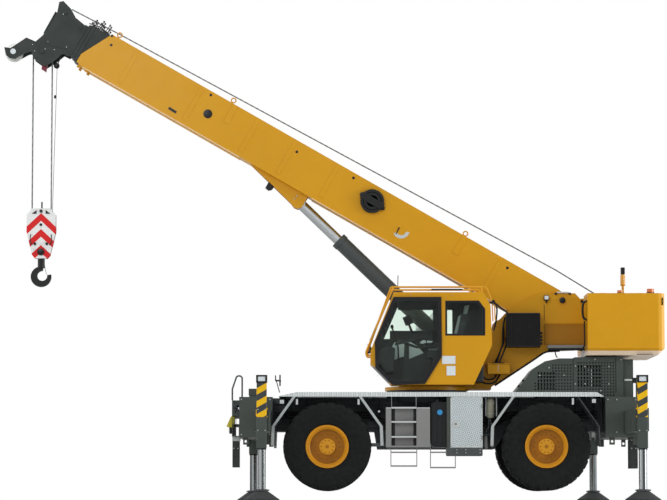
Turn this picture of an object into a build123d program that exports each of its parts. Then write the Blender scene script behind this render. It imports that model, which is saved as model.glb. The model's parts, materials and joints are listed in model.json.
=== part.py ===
from build123d import *
import os
from math import atan2, cos, degrees, hypot, radians, sin

# A two-axle rough-terrain crane, standing on its four outriggers with the boom
# telescoped in and raised, and the hook block hanging from the boom head.
#
# Millimetres. X forward, Y to the driver's left, Z up, the ground at Z = 0.
# Everything is drawn with X measured from the slewing axis. The last lines move the
# whole crane along X, so that the origin lies on the ground under the middle of its box.

# ---------------------------------------------------------------- general fits
touch = 0.3            # running clearance where a piece rides on another
pin_gap = 0.5          # clearance of a pin in its bore
side_gap = 5.0         # clearance between pieces that pass one another

# ---------------------------------------------------------------- wheels and axles
front_axle_x = 1711.0
wheelbase = 3693.0
rear_axle_x = front_axle_x - wheelbase
axle_z = 906.0
wheel_plane_y = 1010.0
kingpin_y = 720.0
tyre_r = 745.0
tyre_w = 520.0
tyre_tread_half = 215.0
tyre_shoulder_r = 700.0
rim_flange_r = 363.0
rim_seat_r = 336.0
rim_w = 430.0
rim_lip = 14.0
rim_wall = 14.0
rim_disc_out = 70.0       # disc plane, outboard of the wheel's middle plane
rim_disc_t = 22.0
rim_ring_r = 290.0        # inner edge of the stiffening ring in the rim's mouth
rim_ring_out = 170.0
hub_r = 135.0
hub_out = 190.0           # hub's outer face, outboard of the middle plane
axle_tube_r = 105.0
axle_bulge_r = 215.0
axle_tube_end_y = 600.0
yoke_half_h = 190.0
yoke_arm_t = 42.0
yoke_r = 70.0
kingpin_r = 30.0
spindle_r = 60.0
brake_r = 190.0

# ---------------------------------------------------------------- carrier frame and deck
frame_half_w = 440.0
frame_wall = 16.0
frame_top_z = 1745.0
frame_arch_z = 1180.0
frame_belly_z = 880.0
belly_front_x = front_axle_x - 861.0
belly_rear_x = rear_axle_x + 832.0
belly_slope = 200.0
belly_nose = 50.0
deck_top_z = 1821.0
deck_t = 10.0
deck_lip_t = 8.0
deck_half_w = 1250.0
deck_front_x = front_axle_x + 817.0
deck_rear_x = rear_axle_x - 962.0
deck_tail = 110.0         # length of the sloping rear edge
deck_nose = 300.0
slew_ring_r = 690.0
slew_ring_bore_r = 560.0
slew_ring_top_z = 1880.0
slew_seat_h = 80.0        # depth of the welded seat below the ring
fender_t = 8.0

# ---------------------------------------------------------------- outriggers
box_front_x = front_axle_x + 1207.0      # middle of the front outrigger box
box_rear_x = rear_axle_x - 1288.0
beam_pitch = 290.0        # between the two beams that share a box
beam_w = 226.0
beam_bottom_z = 1125.0
beam_h = 378.0
beam_wall = 16.0
box_half_len = 1100.0
box_bottom_z = 1062.0
box_wall = 18.0
jack_y = 3050.0
jack_tube = 163.0
jack_bottom_z = 846.0
jack_top_z = 2033.0
jack_cap = 180.0
jack_cap_z = 1910.0
jack_rod_r = 67.0
beam_inner_y = 765.0
float_r = 292.0
float_neck_r = 106.0
float_top_z = 150.0
float_plate_t = 26.0

# ---------------------------------------------------------------- hood and engine
hood_half_w = 800.0
hood_top_z = 2430.0
hood_front_x = rear_axle_x + 512.0
hood_rear_x = rear_axle_x - 1338.0
hood_t = 12.0
engine_front_x = hood_front_x - 410.0
engine_rear_x = hood_front_x - 1330.0
engine_half_w = 330.0
engine_top_z = 2220.0

# ---------------------------------------------------------------- superstructure
base_r = 720.0
base_top_z = 1940.0
cheek_in = 270.0
cheek_t = 40.0
cheek_out = cheek_in + cheek_t
pivot_x = -2321.0
pivot_z = 3425.0
pivot_pin_r = 55.0
foot_pin_x = -600.0
foot_pin_z = 2453.0
foot_boss_r = 130.0
boss_t = 25.0
cw_front_x = -2698.0
cw_rear_x = -4010.0
cw_bottom_z = 2460.0
cw_top_z = 3503.0
cw_half_w = 1100.0
cw_chamfer = 110.0
cw_floor_z = 2600.0
winch_frame_rear_x = -3920.0
winch_frame_top_z = 3400.0
winch_z = 3235.0
main_winch_x = -3140.0
aux_winch_x = -3640.0
drum_r = 175.0
drum_flange_r = 245.0
drum_shaft_r = 45.0

# ---------------------------------------------------------------- cab
cab_in = 385.0
cab_out = 1250.0
cab_wall = 50.0
cab_bottom_z = base_top_z + 8.0
cab_roof_z = 3508.0
door_t = 32.0
door_gap = 5.0
glass_t = 6.0

# ---------------------------------------------------------------- boom, along u and v
# u runs along the boom from its foot pin, v is square to it and upward.
boom_angle = 29.9
boom_half_w = 260.0
boom_top_v = 145.0
boom_bottom_v = -602.0
boom_wall = 12.0
boom_front_top_u = 9040.0
boom_front_bottom_u = 9335.0
boom_lip_u = 9230.0       # where the front edge meets the bottom
boom_knee_u = 660.0
section_wall = 9.0
section_gap = 13.0        # between the walls of one section and the next
collar_len = 58.0
collar_gap = 8.0
head_plate_t = 35.0
sheave_r = 174.0
sheave_groove_r = 156.0
sheave_pitch = 75.0
sheave_w = 50.0
rope_r = 9.0
head_axle_u = 9959.0
head_axle_v = -712.0
top_axle_u = 9942.0
top_axle_v = 81.0
nose_axle_u = 10392.0
nose_axle_v = -962.0
nose_sheave_r = 160.0
top_sheave_r = 105.0
sheave_axle_r = 35.0

# ---------------------------------------------------------------- lift cylinder
lift_pin_u = 4779.0
lift_pin_v = -758.0
lift_pin_r = 45.0
lift_eye_half_w = 100.0
lift_eye_r = 108.0
lift_bracket_t = 40.0
rod_r = 90.0
barrel_r = 134.0
barrel_wall = 34.0
barrel_len = 2945.0
collar_r = 144.0
rod_start = 1055.0        # inner end of the rod, from the barrel's foot
foot_eye_half_w = 110.0
foot_eye_r = 150.0

# ---------------------------------------------------------------- hook block
block_axle_z = 4755.0
block_top_z = 5043.0
block_bottom_z = 4174.0
block_top_half_w = 251.0
block_low_half_w = 155.0
block_plate_t = 22.0
block_half_t = 95.0
hook_t = 74.0
hook_ring_z = 3860.0
hook_outer_r = 178.0
hook_inner_r = 86.0
hook_shank_r = 34.0


def boom_point(u, v):
    """X and Z of a point given along and square to the boom."""
    a = radians(boom_angle)
    return pivot_x + u * cos(a) - v * sin(a), pivot_z + u * sin(a) + v * cos(a)


head_axle_x, head_axle_z = boom_point(head_axle_u, head_axle_v)
nose_x, nose_z = boom_point(nose_axle_u, nose_axle_v)
lift_pin_x, lift_pin_z = boom_point(lift_pin_u, lift_pin_v)
lift_len = hypot(lift_pin_x - foot_pin_x, lift_pin_z - foot_pin_z)
lift_angle = degrees(atan2(lift_pin_z - foot_pin_z, lift_pin_x - foot_pin_x))
crane_front_x = nose_x + nose_sheave_r
slew_x = -(crane_front_x + cw_rear_x) / 2

boom_frame = Pos(pivot_x, 0, pivot_z) * Rot(0, -boom_angle, 0)
lift_frame = Pos(foot_pin_x, 0, foot_pin_z) * Rot(0, -lift_angle, 0)


# ================================================================ small shapes
def block(x0, x1, y0, y1, z0, z1):
    """A box between two corners."""
    size = Box(abs(x1 - x0), abs(y1 - y0), abs(z1 - z0))
    return Pos((x0 + x1) / 2, (y0 + y1) / 2, (z0 + z1) / 2) * size


def slab(points, y0, y1):
    """A plate of the XZ outline, from y0 to y1."""
    face = Plane.XZ * Polygon(*points, align=None)
    return Pos(0, max(y0, y1), 0) * extrude(face, amount=abs(y1 - y0), dir=(0, -1, 0))


def face_slab(face, y0, y1):
    """A plate of an XZ face, from y0 up to y1."""
    return Pos(0, y1, 0) * extrude(face, amount=y1 - y0, dir=(0, -1, 0))


def rod_x(y, z, r, x0, x1):
    """A round bar along X."""
    return Pos((x0 + x1) / 2, y, z) * Rot(0, 90, 0) * Cylinder(r, abs(x1 - x0))


def rod_y(x, z, r, y0, y1):
    """A round bar along Y."""
    return Pos(x, (y0 + y1) / 2, z) * Rot(90, 0, 0) * Cylinder(r, abs(y1 - y0))


def rod_z(x, y, r, z0, z1):
    """A round bar along Z."""
    return Pos(x, y, (z0 + z1) / 2) * Cylinder(r, abs(z1 - z0))


def both_sides(shape):
    """The shape and its mirror image across the middle of the crane."""
    return shape + mirror(shape, about=Plane.XZ)


def turned_about_y(points):
    """A ring turned about the Y axis from (radius, y) points."""
    face = Plane.XY * Polygon(*points, align=None)
    return revolve(face, axis=Axis.Y)


def bent_tube(points, radius, tube_r):
    """A round tube along a path with filleted corners."""
    path = FilletPolyline(*points, radius=radius)
    start = Plane(origin=path @ 0, z_dir=path % 0)
    return sweep(start * Circle(tube_r), path=path)


# ================================================================ carrier
def chassis_frame():
    """Box-section frame between the outrigger boxes, arched over both axles, with the slewing ring."""
    rear_x = box_rear_x + outrigger_box_half()
    front_x = box_front_x - outrigger_box_half()

    def outline(wall):
        return [
            (rear_x, frame_arch_z + wall),
            (belly_rear_x - belly_slope + wall / 2, frame_arch_z + wall),
            (belly_rear_x + wall / 2, frame_belly_z + wall),
            (belly_front_x - wall, frame_belly_z + wall),
            (belly_front_x + belly_nose - wall, frame_arch_z + wall),
            (front_x, frame_arch_z + wall),
            (front_x, frame_top_z - wall),
            (rear_x, frame_top_z - wall),
        ]

    inside = frame_half_w - frame_wall
    frame = slab(outline(0), -frame_half_w, frame_half_w)
    frame += rod_z(0, 0, slew_ring_r, frame_top_z - slew_seat_h, slew_ring_top_z)
    frame -= slab(outline(frame_wall), -inside, inside)
    return frame - rod_z(0, 0, slew_ring_bore_r, frame_top_z, slew_ring_top_z)


def outrigger_box_half():
    """Half the length along X of an outrigger box."""
    return beam_pitch / 2 + beam_w / 2 + side_gap + box_wall


def tunnel_side(place):
    """The side a tunnel opens to: the rear tunnel of a box to the left, the front one to the right."""
    return -place


def outrigger_boxes():
    """Two welded boxes across the frame's ends, each with a beam tunnel to either side."""
    half = outrigger_box_half()
    lugs = [  # middle X from the box's middle, half length
        (-0.78 * half, 38.0),
        (0.6 * half, 46.0),
    ]
    lug_z = 940.0
    lug_t = 26.0
    lug_y = 1040.0
    lug_hole_r = 22.0
    boxes = []
    for x in (box_front_x, box_rear_x):
        shell = block(x - half, x + half, -box_half_len, box_half_len, box_bottom_z, frame_top_z)
        for side in (-1, 1):
            middle = x + side * beam_pitch / 2
            reach = beam_w / 2 + side_gap
            mouth = tunnel_side(side) * box_half_len
            shell -= block(middle - reach, middle + reach, tunnel_side(side) * (box_wall - box_half_len), mouth,
                           beam_bottom_z - touch, beam_bottom_z + beam_h + touch)
        shell -= block(x - half + box_wall, x + half - box_wall, -box_half_len + box_wall,
                       box_half_len - box_wall, beam_bottom_z + beam_h + box_wall, frame_top_z - box_wall)
        for offset, half_len in lugs:
            for y in (-lug_y, lug_y):
                shell += block(x + offset - half_len, x + offset + half_len, y - lug_t / 2,
                               y + lug_t / 2, lug_z, box_bottom_z)
        for (offset, _), y in zip(lugs, (-lug_y, lug_y)):
            shell -= rod_y(x + offset, lug_z + 55, lug_hole_r, y - lug_t / 2, y + lug_t / 2)
        boxes.append(shell)
    return boxes[0] + boxes[1]


def carrier_deck():
    """Chequer-plate deck with side lips and cross ribs, open round the ring and the engine."""
    edge = deck_half_w
    side = slab([(deck_rear_x + deck_tail, deck_top_z), (deck_rear_x, frame_top_z + deck_t),
                 (deck_rear_x, frame_top_z), (deck_rear_x + deck_tail, deck_top_z - deck_t),
                 (deck_front_x - deck_nose, deck_top_z - deck_t), (deck_front_x, frame_top_z),
                 (deck_front_x, frame_top_z + deck_t), (deck_front_x - deck_nose, deck_top_z)], -edge, edge)
    lip = [(deck_rear_x + deck_tail, deck_top_z), (deck_rear_x, frame_top_z + deck_t),
           (deck_rear_x, frame_top_z), (deck_front_x, frame_top_z),
           (deck_front_x, frame_top_z + deck_t), (deck_front_x - deck_nose, deck_top_z)]
    deck = side + slab(lip, edge - deck_lip_t, edge) + slab(lip, -edge, -edge + deck_lip_t)
    rib_t = 12.0
    for x in (-2700.0, -1400.0, 900.0, 2100.0):
        deck += block(x, x + rib_t, -edge + deck_lip_t, edge - deck_lip_t, frame_top_z, deck_top_z - deck_t)
    ring_gap = 12.0
    deck -= rod_z(0, 0, slew_ring_r + ring_gap, frame_top_z, deck_top_z + 1)
    hood_seat = 60.0
    well = hood_half_w - hood_seat
    deck -= block(deck_rear_x, hood_front_x - hood_seat, -well, well, frame_top_z, deck_top_z + 1)
    return deck


def fenders():
    """Bent mudguard plates before and behind each wheel, hung from the deck's edge."""
    guard = [  # distance from the axle along X, height
        (531.0, frame_top_z),
        (885.0, 1245.0),
        (897.0, 920.0),
    ]
    lip_w = 50.0
    guards = [  # axle X, way the guard lies from it, whether it has a folded lip
        (front_axle_x, 1, True),
        (front_axle_x, -1, True),
        (rear_axle_x, 1, True),
        (rear_axle_x, -1, False),
    ]
    plates = None
    for axle_x, way, folded in guards:
        inner = [(axle_x + way * reach, z) for reach, z in guard]
        outer = [(x + way * fender_t, z) for x, z in reversed(inner)]
        plate = slab(inner + outer, frame_half_w, deck_half_w)
        if folded:
            far = [(x + way * lip_w, z) for x, z in reversed(inner)]
            plate += slab(inner + far, deck_half_w - fender_t, deck_half_w)
        plate = both_sides(plate)
        plates = plate if plates is None else plates + plate
    return plates


def engine_hood():
    """Folded hood with a louvred grille in each side, closed at the back."""
    foot_x = deck_rear_x
    shape = [  # X, Z along the side's outline
        (hood_front_x, deck_top_z),
        (hood_front_x - 212, 2085.0),
        (hood_front_x - 348, 2255.0),
        (hood_front_x - 518, 2360.0),
        (hood_front_x - 760, hood_top_z - 20),
        (hood_front_x - 1010, hood_top_z - 20),
        (hood_front_x - 1030, hood_top_z),
        (hood_rear_x, hood_top_z),
        (hood_rear_x, frame_top_z),
        (foot_x, frame_top_z),
        (foot_x, deck_top_z),
    ]
    outer = slab(shape, -hood_half_w, hood_half_w)
    inner_face = offset(Plane.XZ * Polygon(*shape, align=None), amount=-hood_t)
    inner = face_slab(inner_face, hood_t - hood_half_w, hood_half_w - hood_t)
    hood = outer - inner
    well = hood_half_w - hood_t
    hood -= block(hood_front_x - 60, hood_rear_x + hood_t, -well, well, frame_top_z - 1, deck_top_z + hood_t + 1)
    back_x = hood_rear_x - 180.0
    back_half = 700.0
    back_top_z = hood_top_z - 30
    hood += block(back_x, hood_rear_x, -back_half, back_half, frame_top_z, back_top_z)
    hood -= block(back_x + hood_t, hood_rear_x, hood_t - back_half, back_half - hood_t,
                  frame_top_z + hood_t, back_top_z - hood_t)
    slot_w = 26.0
    slot_h = 40.0
    grilles = [  # first X, first Z, columns, rows
        (hood_front_x - 410, 1900.0, 6, 5),
        (hood_front_x - 1090, 1950.0, 8, 6),
    ]
    for first_x, first_z, columns, rows in grilles:
        for i in range(columns):
            for j in range(rows):
                x = first_x - i * 2.0 * slot_w
                z = first_z + j * 1.6 * slot_h
                hood -= block(x - slot_w / 2, x + slot_w / 2, -hood_half_w - 1, hood_half_w + 1,
                              z - slot_h / 2, z + slot_h / 2)
    return hood


def engine_block():
    """The engine, one plain mass on the frame."""
    return block(engine_rear_x, engine_front_x, -engine_half_w, engine_half_w, frame_top_z, engine_top_z)


bumper_front_x = box_front_x + outrigger_box_half() + 125.0


def front_bumper():
    """Lower bumper and upper step across the front, with a grab handle on the left."""
    back = box_front_x + outrigger_box_half()
    half = 1000.0
    low_z, low_top_z, step_z, step_top_z = 1080.0, 1290.0, 1430.0, 1690.0
    wall = 10.0
    low = block(back, bumper_front_x, -half, half, low_z, low_top_z)
    low -= block(back + wall, bumper_front_x - wall, -half, half, low_z + wall, low_top_z - wall)
    step = block(back, bumper_front_x, -half, half, step_z, step_top_z)
    step -= block(back, bumper_front_x - wall, -half, half, step_z + wall, step_top_z - wall)
    bumper = low + step
    post_t = 20.0
    for y in (-half, -350.0, 350.0 - post_t, half - post_t):
        bumper += block(bumper_front_x - wall, bumper_front_x, y, y + post_t, low_top_z, step_z)
    for y in (-half, half - wall):
        bumper += block(back, bumper_front_x, y, y + wall, step_z, step_top_z)
    rim = 42.0
    bumper -= block(back + 6, bumper_front_x - rim, -half, half, step_z + rim, step_top_z - 60)
    return bumper


def grab_rail():
    """A bent grab rail beside the steps on the left front corner."""
    rail_r = 14.0
    rail_y = 1040.0
    front_x = bumper_front_x - 7
    post_x = box_front_x + outrigger_box_half() - 48
    top_z = 2101.0
    path = [(front_x, rail_y, 1690.0), (front_x, rail_y, 1880.0), (front_x - 75, rail_y, top_z),
            (post_x, rail_y, top_z), (post_x, rail_y, frame_top_z)]
    return bent_tube(path, 45.0, rail_r)


lamp_table = [  # rear X, front X, outer Y, low Z, size across, height
    (bumper_front_x, bumper_front_x + 45.0, 910.0, 1130.0, 190.0, 120.0),
    (box_rear_x - outrigger_box_half() - 70.0, box_rear_x - outrigger_box_half(), box_half_len - 10, 1140.0,
     230.0, 390.0),
]


def lamps():
    """Head lamps on the bumper and tail lamp clusters behind the rear box."""
    housings = None
    for x0, x1, y, z, across, high in lamp_table:
        housing = both_sides(block(x0, x1, y - across, y, z, z + high))
        housings = housing if housings is None else housings + housing
    return housings


def hanging_steps():
    """Rubber-belt steps under the two left corners, each with its rungs."""
    belt_t = 10.0
    rung_r = 13.0
    y0 = 590.0
    y1 = y0 + 300.0
    corners = [  # X of the step's middle, width of its belts, low Z, top Z
        (box_front_x + outrigger_box_half() + 60, 118.0, 560.0, 1080.0),
        (box_rear_x - outrigger_box_half() + 72, 140.0, 540.0, box_bottom_z),
    ]
    steps = None
    for x, belt_w, low_z, top_z in corners:
        step = block(x - belt_w / 2, x + belt_w / 2, y0, y0 + belt_t, low_z, top_z)
        step += block(x - belt_w / 2, x + belt_w / 2, y1 - belt_t, y1, low_z, top_z)
        for z in (low_z + 30, low_z + 270):
            step += rod_y(x, z, rung_r, y0, y1)
        steps = step if steps is None else steps + step
    return steps


ladder_out = 1235.0
side_top_z = frame_top_z
toolbox_base_z = 754.0
toolbox_rear_x = rear_axle_x + 1078.0
toolbox_front_x = toolbox_rear_x + 540.0
toolbox_base_front_x = toolbox_front_x + 50.0


def side_ladder():
    """Steps up to the deck on the left side, between two closed panels."""
    panels = [  # rear X, front X
        (632.0, 724.0),
        (-20.0, 208.0),
    ]
    low_z = frame_belly_z + 14
    panel_in = 1120.0
    ladder = None
    panel_top_z = 1558.0
    for x0, x1 in panels:
        panel = block(x0, x1, panel_in, ladder_out, low_z, panel_top_z)
        ladder = panel if ladder is None else ladder + panel
    back_x0, back_x1 = 258.0, 568.0
    ladder += block(back_x0, back_x1, panel_in, panel_in + 10, low_z, panel_top_z)
    rung_h = 26.0
    for z in (low_z, 1054.0, 1306.0, 1544.0):
        ladder += block(panels[1][1], panels[0][0], panel_in, ladder_out, z, z + rung_h)
    wire = 10.0
    for x in (panels[1][1], panels[0][0] - wire):
        ladder += block(x, x + wire, ladder_out - wire, ladder_out, panel_top_z, side_top_z)
    leg = 14.0
    belt_out = ladder_out - 20
    rail_z = 796.0
    hung = [  # rear X, front X, low Z of a hanging step, tops of its two straps, rear X of its upper rail
        (196.0, 646.0, 566.0, low_z, low_z, 196.0),
        (-452.0, -20.0, 540.0, toolbox_base_z, low_z + 60, toolbox_base_front_x),
    ]
    for x0, x1, z0, rear_top, front_top, rail_x in hung:
        ladder += block(x0, x0 + leg, belt_out - 40, belt_out, z0, rear_top)
        ladder += block(x1 - leg, x1, belt_out - 40, belt_out, z0, front_top)
        ladder += block(x0, x1, belt_out - 40, belt_out, z0, z0 + 25)
        ladder += block(rail_x, x1, belt_out - 40, belt_out, rail_z, rail_z + 25)
    arm_h = 60.0
    for x0, x1 in panels:
        middle = (x0 + x1) / 2
        ladder += block(middle - 20, middle + 20, frame_half_w, panel_in, low_z + 100, low_z + 100 + arm_h)
    return ladder


def toolbox():
    """Chequer-plate tool box on the left side, on a frame bracket."""
    front_x, rear_x = toolbox_front_x, toolbox_rear_x
    low_z = 894.0
    box = block(rear_x, front_x, 620.0, ladder_out, low_z, side_top_z)
    box = fillet(box.edges().filter_by(Axis.Y), 25.0)
    box += block(rear_x + 60, front_x - 60, frame_half_w, 640.0, low_z + 60, low_z + 160)
    base = block(rear_x, toolbox_base_front_x, 700.0, ladder_out, toolbox_base_z, low_z)
    return box + base


def side_tanks():
    """Fuel tank on the left, hydraulic tank on the right, both strapped to the frame."""
    left = block(-340.0, -45.0, 620.0, 1170.0, 894.0, 1655.0)
    left = fillet(left.edges().filter_by(Axis.Y), 60.0)
    left += block(-280.0, -105.0, frame_half_w, 640.0, 960.0, 1060.0)
    left += rod_z(-150.0, 1100.0, 45.0, 1655.0, 1700.0)
    right = block(-900.0, 250.0, -1215.0, -620.0, 894.0, 1655.0)
    right = fillet(right.edges().filter_by(Axis.Y), 80.0)
    for x in (-700.0, 0.0):
        right += block(x - 60, x + 60, -640.0, -frame_half_w, 960.0, 1060.0)
    right += rod_z(-500.0, -1080.0, 60.0, 1655.0, 1710.0)
    return left + right


def axle(x):
    """Drive axle: banjo casing, tapered tubes and a forked yoke for each knuckle."""
    half = [(0, axle_bulge_r), (90, axle_bulge_r - 12), (200, 135), (280, axle_tube_r),
            (axle_tube_end_y, axle_tube_r)]
    outline = [(0, 0)] + [(r, y) for y, r in half] + [(0, axle_tube_end_y)]
    casing = turned_about_y(outline)
    casing += mirror(casing, about=Plane.XZ)
    web_t = 40.0
    fork = block(-yoke_r, yoke_r, axle_tube_end_y - web_t, axle_tube_end_y, -yoke_half_h, yoke_half_h)
    for low, high in ((yoke_half_h - yoke_arm_t, yoke_half_h), (-yoke_half_h, yoke_arm_t - yoke_half_h)):
        fork += block(-yoke_r, yoke_r, axle_tube_end_y - web_t, kingpin_y, low, high)
        fork += rod_z(0, kingpin_y, yoke_r, low, high)
    fork -= rod_z(0, kingpin_y, kingpin_r + pin_gap, -yoke_half_h, yoke_half_h)
    casing += both_sides(fork)
    pad_half = 75.0
    pad_y = 360.0
    pad_h = frame_arch_z - axle_z
    casing += both_sides(block(-pad_half, pad_half, pad_y - pad_half, pad_y + pad_half, 0, pad_h))
    return Pos(x, 0, axle_z) * casing


def axles():
    """Both axles, bolted under the frame's arches."""
    return axle(front_axle_x) + axle(rear_axle_x)


def knuckle():
    """Steering knuckle with kingpin, spindle and brake drum, for the left side at the origin."""
    boss_half = yoke_half_h - yoke_arm_t - 2.0
    body = rod_z(0, kingpin_y, yoke_r - 5, -boss_half, boss_half)
    body += rod_z(0, kingpin_y, kingpin_r, -yoke_half_h, yoke_half_h)
    spindle_end = wheel_plane_y + rim_disc_out
    body += rod_y(0, 0, spindle_r, kingpin_y, spindle_end - touch)
    body += rod_y(0, 0, brake_r, kingpin_y + yoke_r + 10, wheel_plane_y - 70)
    return body


def tyre():
    """Wide earthmover tyre, middle plane at Y = 0."""
    half = tyre_w / 2
    bead_half = rim_w / 2 - rim_lip - touch
    seat = rim_seat_r + touch
    outline = [
        (seat, -bead_half), (seat + 60, -bead_half), (560, -half), (640, -half), (tyre_shoulder_r, -half + 14),
        (tyre_r - 12, -tyre_tread_half - 12), (tyre_r, -tyre_tread_half + 20),
    ]
    outline += [(r, -y) for r, y in reversed(outline)]
    return turned_about_y(outline)


def rim():
    """Dished wheel with flanges, disc and planetary hub, outboard toward +Y."""
    half = rim_w / 2
    well = rim_seat_r
    bore = well - rim_wall
    outline = [
        (bore, -half), (rim_flange_r, -half), (rim_flange_r, -half + rim_lip), (well, -half + rim_lip),
        (well, half - rim_lip), (rim_flange_r, half - rim_lip), (rim_flange_r, half), (bore, half),
    ]
    wheel = turned_about_y(outline)
    disc = rod_y(0, 0, bore + 2, rim_disc_out, rim_disc_out + rim_disc_t)
    collar = [
        (rim_ring_r, rim_ring_out), (rim_ring_r + 12, rim_ring_out + 8), (bore + 2, half - 12),
        (bore + 2, rim_ring_out - 30), (rim_ring_r, rim_ring_out - 30),
    ]
    ring = turned_about_y(collar)
    hub = rod_y(0, 0, hub_r, rim_disc_out + rim_disc_t, hub_out)
    hub = fillet(hub.edges().filter_by(GeomType.CIRCLE).group_by(Axis.Y)[-1], 14.0)
    return wheel + disc + ring + hub


# ================================================================ outriggers
def outrigger_beam(x, side):
    """Sliding beam with its jack tube and the striped head cap, shown run out."""
    half = beam_w / 2
    inner_y = side * beam_inner_y
    tube_half = jack_tube / 2
    end_y = side * (jack_y - tube_half)
    beam = block(x - half, x + half, inner_y, end_y, beam_bottom_z, beam_bottom_z + beam_h)
    beam -= block(x - half + beam_wall, x + half - beam_wall, inner_y, end_y - side * 40,
                  beam_bottom_z + beam_wall, beam_bottom_z + beam_h - beam_wall)
    tube = block(x - tube_half, x + tube_half, end_y, side * (jack_y + tube_half), jack_bottom_z, jack_top_z)
    tube = fillet(tube.edges().filter_by(Axis.Z), 16.0)
    cap_half = jack_cap / 2
    y = side * jack_y
    beam += tube + block(x - cap_half, x + cap_half, y - cap_half, y + cap_half, jack_cap_z, jack_top_z)
    beam -= rod_z(x, side * jack_y, jack_rod_r + touch, jack_bottom_z, jack_top_z - 60)
    return beam


def outrigger_jack(x, side):
    """Polished jack rod with its round steel float."""
    y = side * jack_y
    rod_top = 1280.0
    jack = rod_z(x, y, jack_rod_r, float_top_z - 20, rod_top)
    plate = rod_z(x, y, float_r, 0, float_plate_t)
    cone = Pos(x, y, (float_plate_t + float_top_z) / 2) * Cone(float_r - 12, float_neck_r,
                                                             float_top_z - float_plate_t)
    return jack + plate + cone


# ================================================================ superstructure
def turret():
    """Turntable plate and the two cheeks that carry the boom, the cylinder and the winches."""
    outline = [  # X, Z round a cheek
        (-1974.0, 3553.0), (-2550.0, 3553.0), (-2690.0, winch_frame_top_z),
        (winch_frame_rear_x, winch_frame_top_z), (winch_frame_rear_x, cw_floor_z),
        (cw_front_x, cw_floor_z), (-2094.0, 2577.0), (-1510.0, 2216.0), (-1100.0, base_top_z),
        (480.0, base_top_z), (480.0, 2100.0), (-330.0, 2450.0), (-450.0, 2780.0), (-1100.0, 2790.0),
        (-1160.0, 3060.0), (-1253.0, 3105.0), (-1362.0, 3225.0), (-1800.0, 3480.0),
    ]
    cheek = slab(outline, cheek_in, cheek_out)
    cheek += rod_y(foot_pin_x, foot_pin_z, foot_boss_r, cheek_out, cheek_out + boss_t)
    cheek -= rod_y(pivot_x, pivot_z, pivot_pin_r + pin_gap, cheek_in, cheek_out)
    locker = block(-1410.0, -1032.0, cheek_out, 520.0, 2160.0, 2340.0)
    for x in (main_winch_x, aux_winch_x):
        cheek -= rod_y(x, winch_z, drum_shaft_r + pin_gap, cheek_in, cheek_out)
    base = rod_z(0, 0, base_r, slew_ring_top_z + touch, base_top_z)
    tail_plate = slab([(-1100.0, base_top_z), (0.0, base_top_z), (0.0, slew_ring_top_z + 20),
                       (-1100.0, slew_ring_top_z + 20)], -cheek_out, cheek_out)
    nose_plate = block(0, 480.0, -cheek_out, cheek_out, slew_ring_top_z + 20, base_top_z)
    belly_t = 30.0
    belly = slab([(-1100.0, base_top_z), (-1510.0, 2216.0), (-2094.0, 2577.0), (cw_front_x, cw_floor_z),
                  (cw_front_x, cw_floor_z + belly_t), (-2100.0, 2577.0 + belly_t),
                  (-1500.0, 2216.0 + belly_t + 6), (-1050.0, base_top_z)], -cheek_in, cheek_in)
    winch_floor = block(winch_frame_rear_x, cw_front_x, -cheek_in, cheek_in, cw_floor_z, cw_floor_z + belly_t)
    body = both_sides(cheek) + locker + base + tail_plate + nose_plate + belly + winch_floor
    mount_w = 150.0
    for x, z0, z1 in ((-640.0, 2000.0, 2300.0), (300.0, 1960.0, 2080.0)):
        body += block(x, x + mount_w, cheek_out, cab_in, z0, z1)
    for x in (-400.0, 250.0):
        body += block(x, x + mount_w, 430.0, 560.0, base_top_z, cab_bottom_z)
    return body


def counterweight():
    """Cast counterweight round the winches, chamfered at the rear and below."""
    weight = block(cw_rear_x, cw_front_x, -cw_half_w, cw_half_w, cw_bottom_z, cw_top_z)
    rear = weight.faces().sort_by(Axis.X)[0]
    bottom = weight.faces().sort_by(Axis.Z)[0]
    cut = [edge for edge in rear.edges() + bottom.edges() if edge.center().X < cw_front_x - 1]
    cut = [edge for edge in cut if edge.center().Z < cw_top_z - 1]
    weight = chamfer(cut, cw_chamfer)
    weight -= block(winch_frame_rear_x, cw_front_x, -cheek_out, cheek_out, cw_floor_z, cw_top_z + 1)
    return weight


def winch(x):
    """Hoist drum with end flanges on a through shaft."""
    drum_half = cheek_in - 15.0
    flange_t = 18.0
    drum = rod_y(x, winch_z, drum_r, -drum_half, drum_half)
    for side in (-1, 1):
        drum += rod_y(x, winch_z, drum_flange_r, side * drum_half, side * (drum_half - flange_t))
    return drum + rod_y(x, winch_z, drum_shaft_r, -cheek_out, cheek_out)


def cooler_box():
    """Oil cooler hung on the left cheek."""
    return block(-1928.0, -1352.0, cheek_out, 600.0, 2615.0, 3197.0)


beacon_table = [  # X, foot Z above the counterweight, lamp radius, lamp height, pole radius
    (-3270.0, 0.0, 50.0, 60.0, 0.0),
    (-3340.0, 170.0, 42.0, 175.0, 17.0),
    (-3838.0, 45.0, 62.0, 75.0, 10.0),
]


def beacons():
    """Warning lamps on the counterweight, one on a pole."""
    lamps = None
    spacing = 260.0
    for i, (x, foot, lamp_r, lamp_h, pole_r) in enumerate(beacon_table):
        y = 900.0 - i * spacing
        lamp = rod_z(x, y, lamp_r, cw_top_z + foot, cw_top_z + foot + lamp_h)
        if pole_r:
            lamp += rod_z(x, y, pole_r, cw_top_z, cw_top_z + foot)
        lamps = lamp if lamps is None else lamps + lamp
    return lamps


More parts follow.
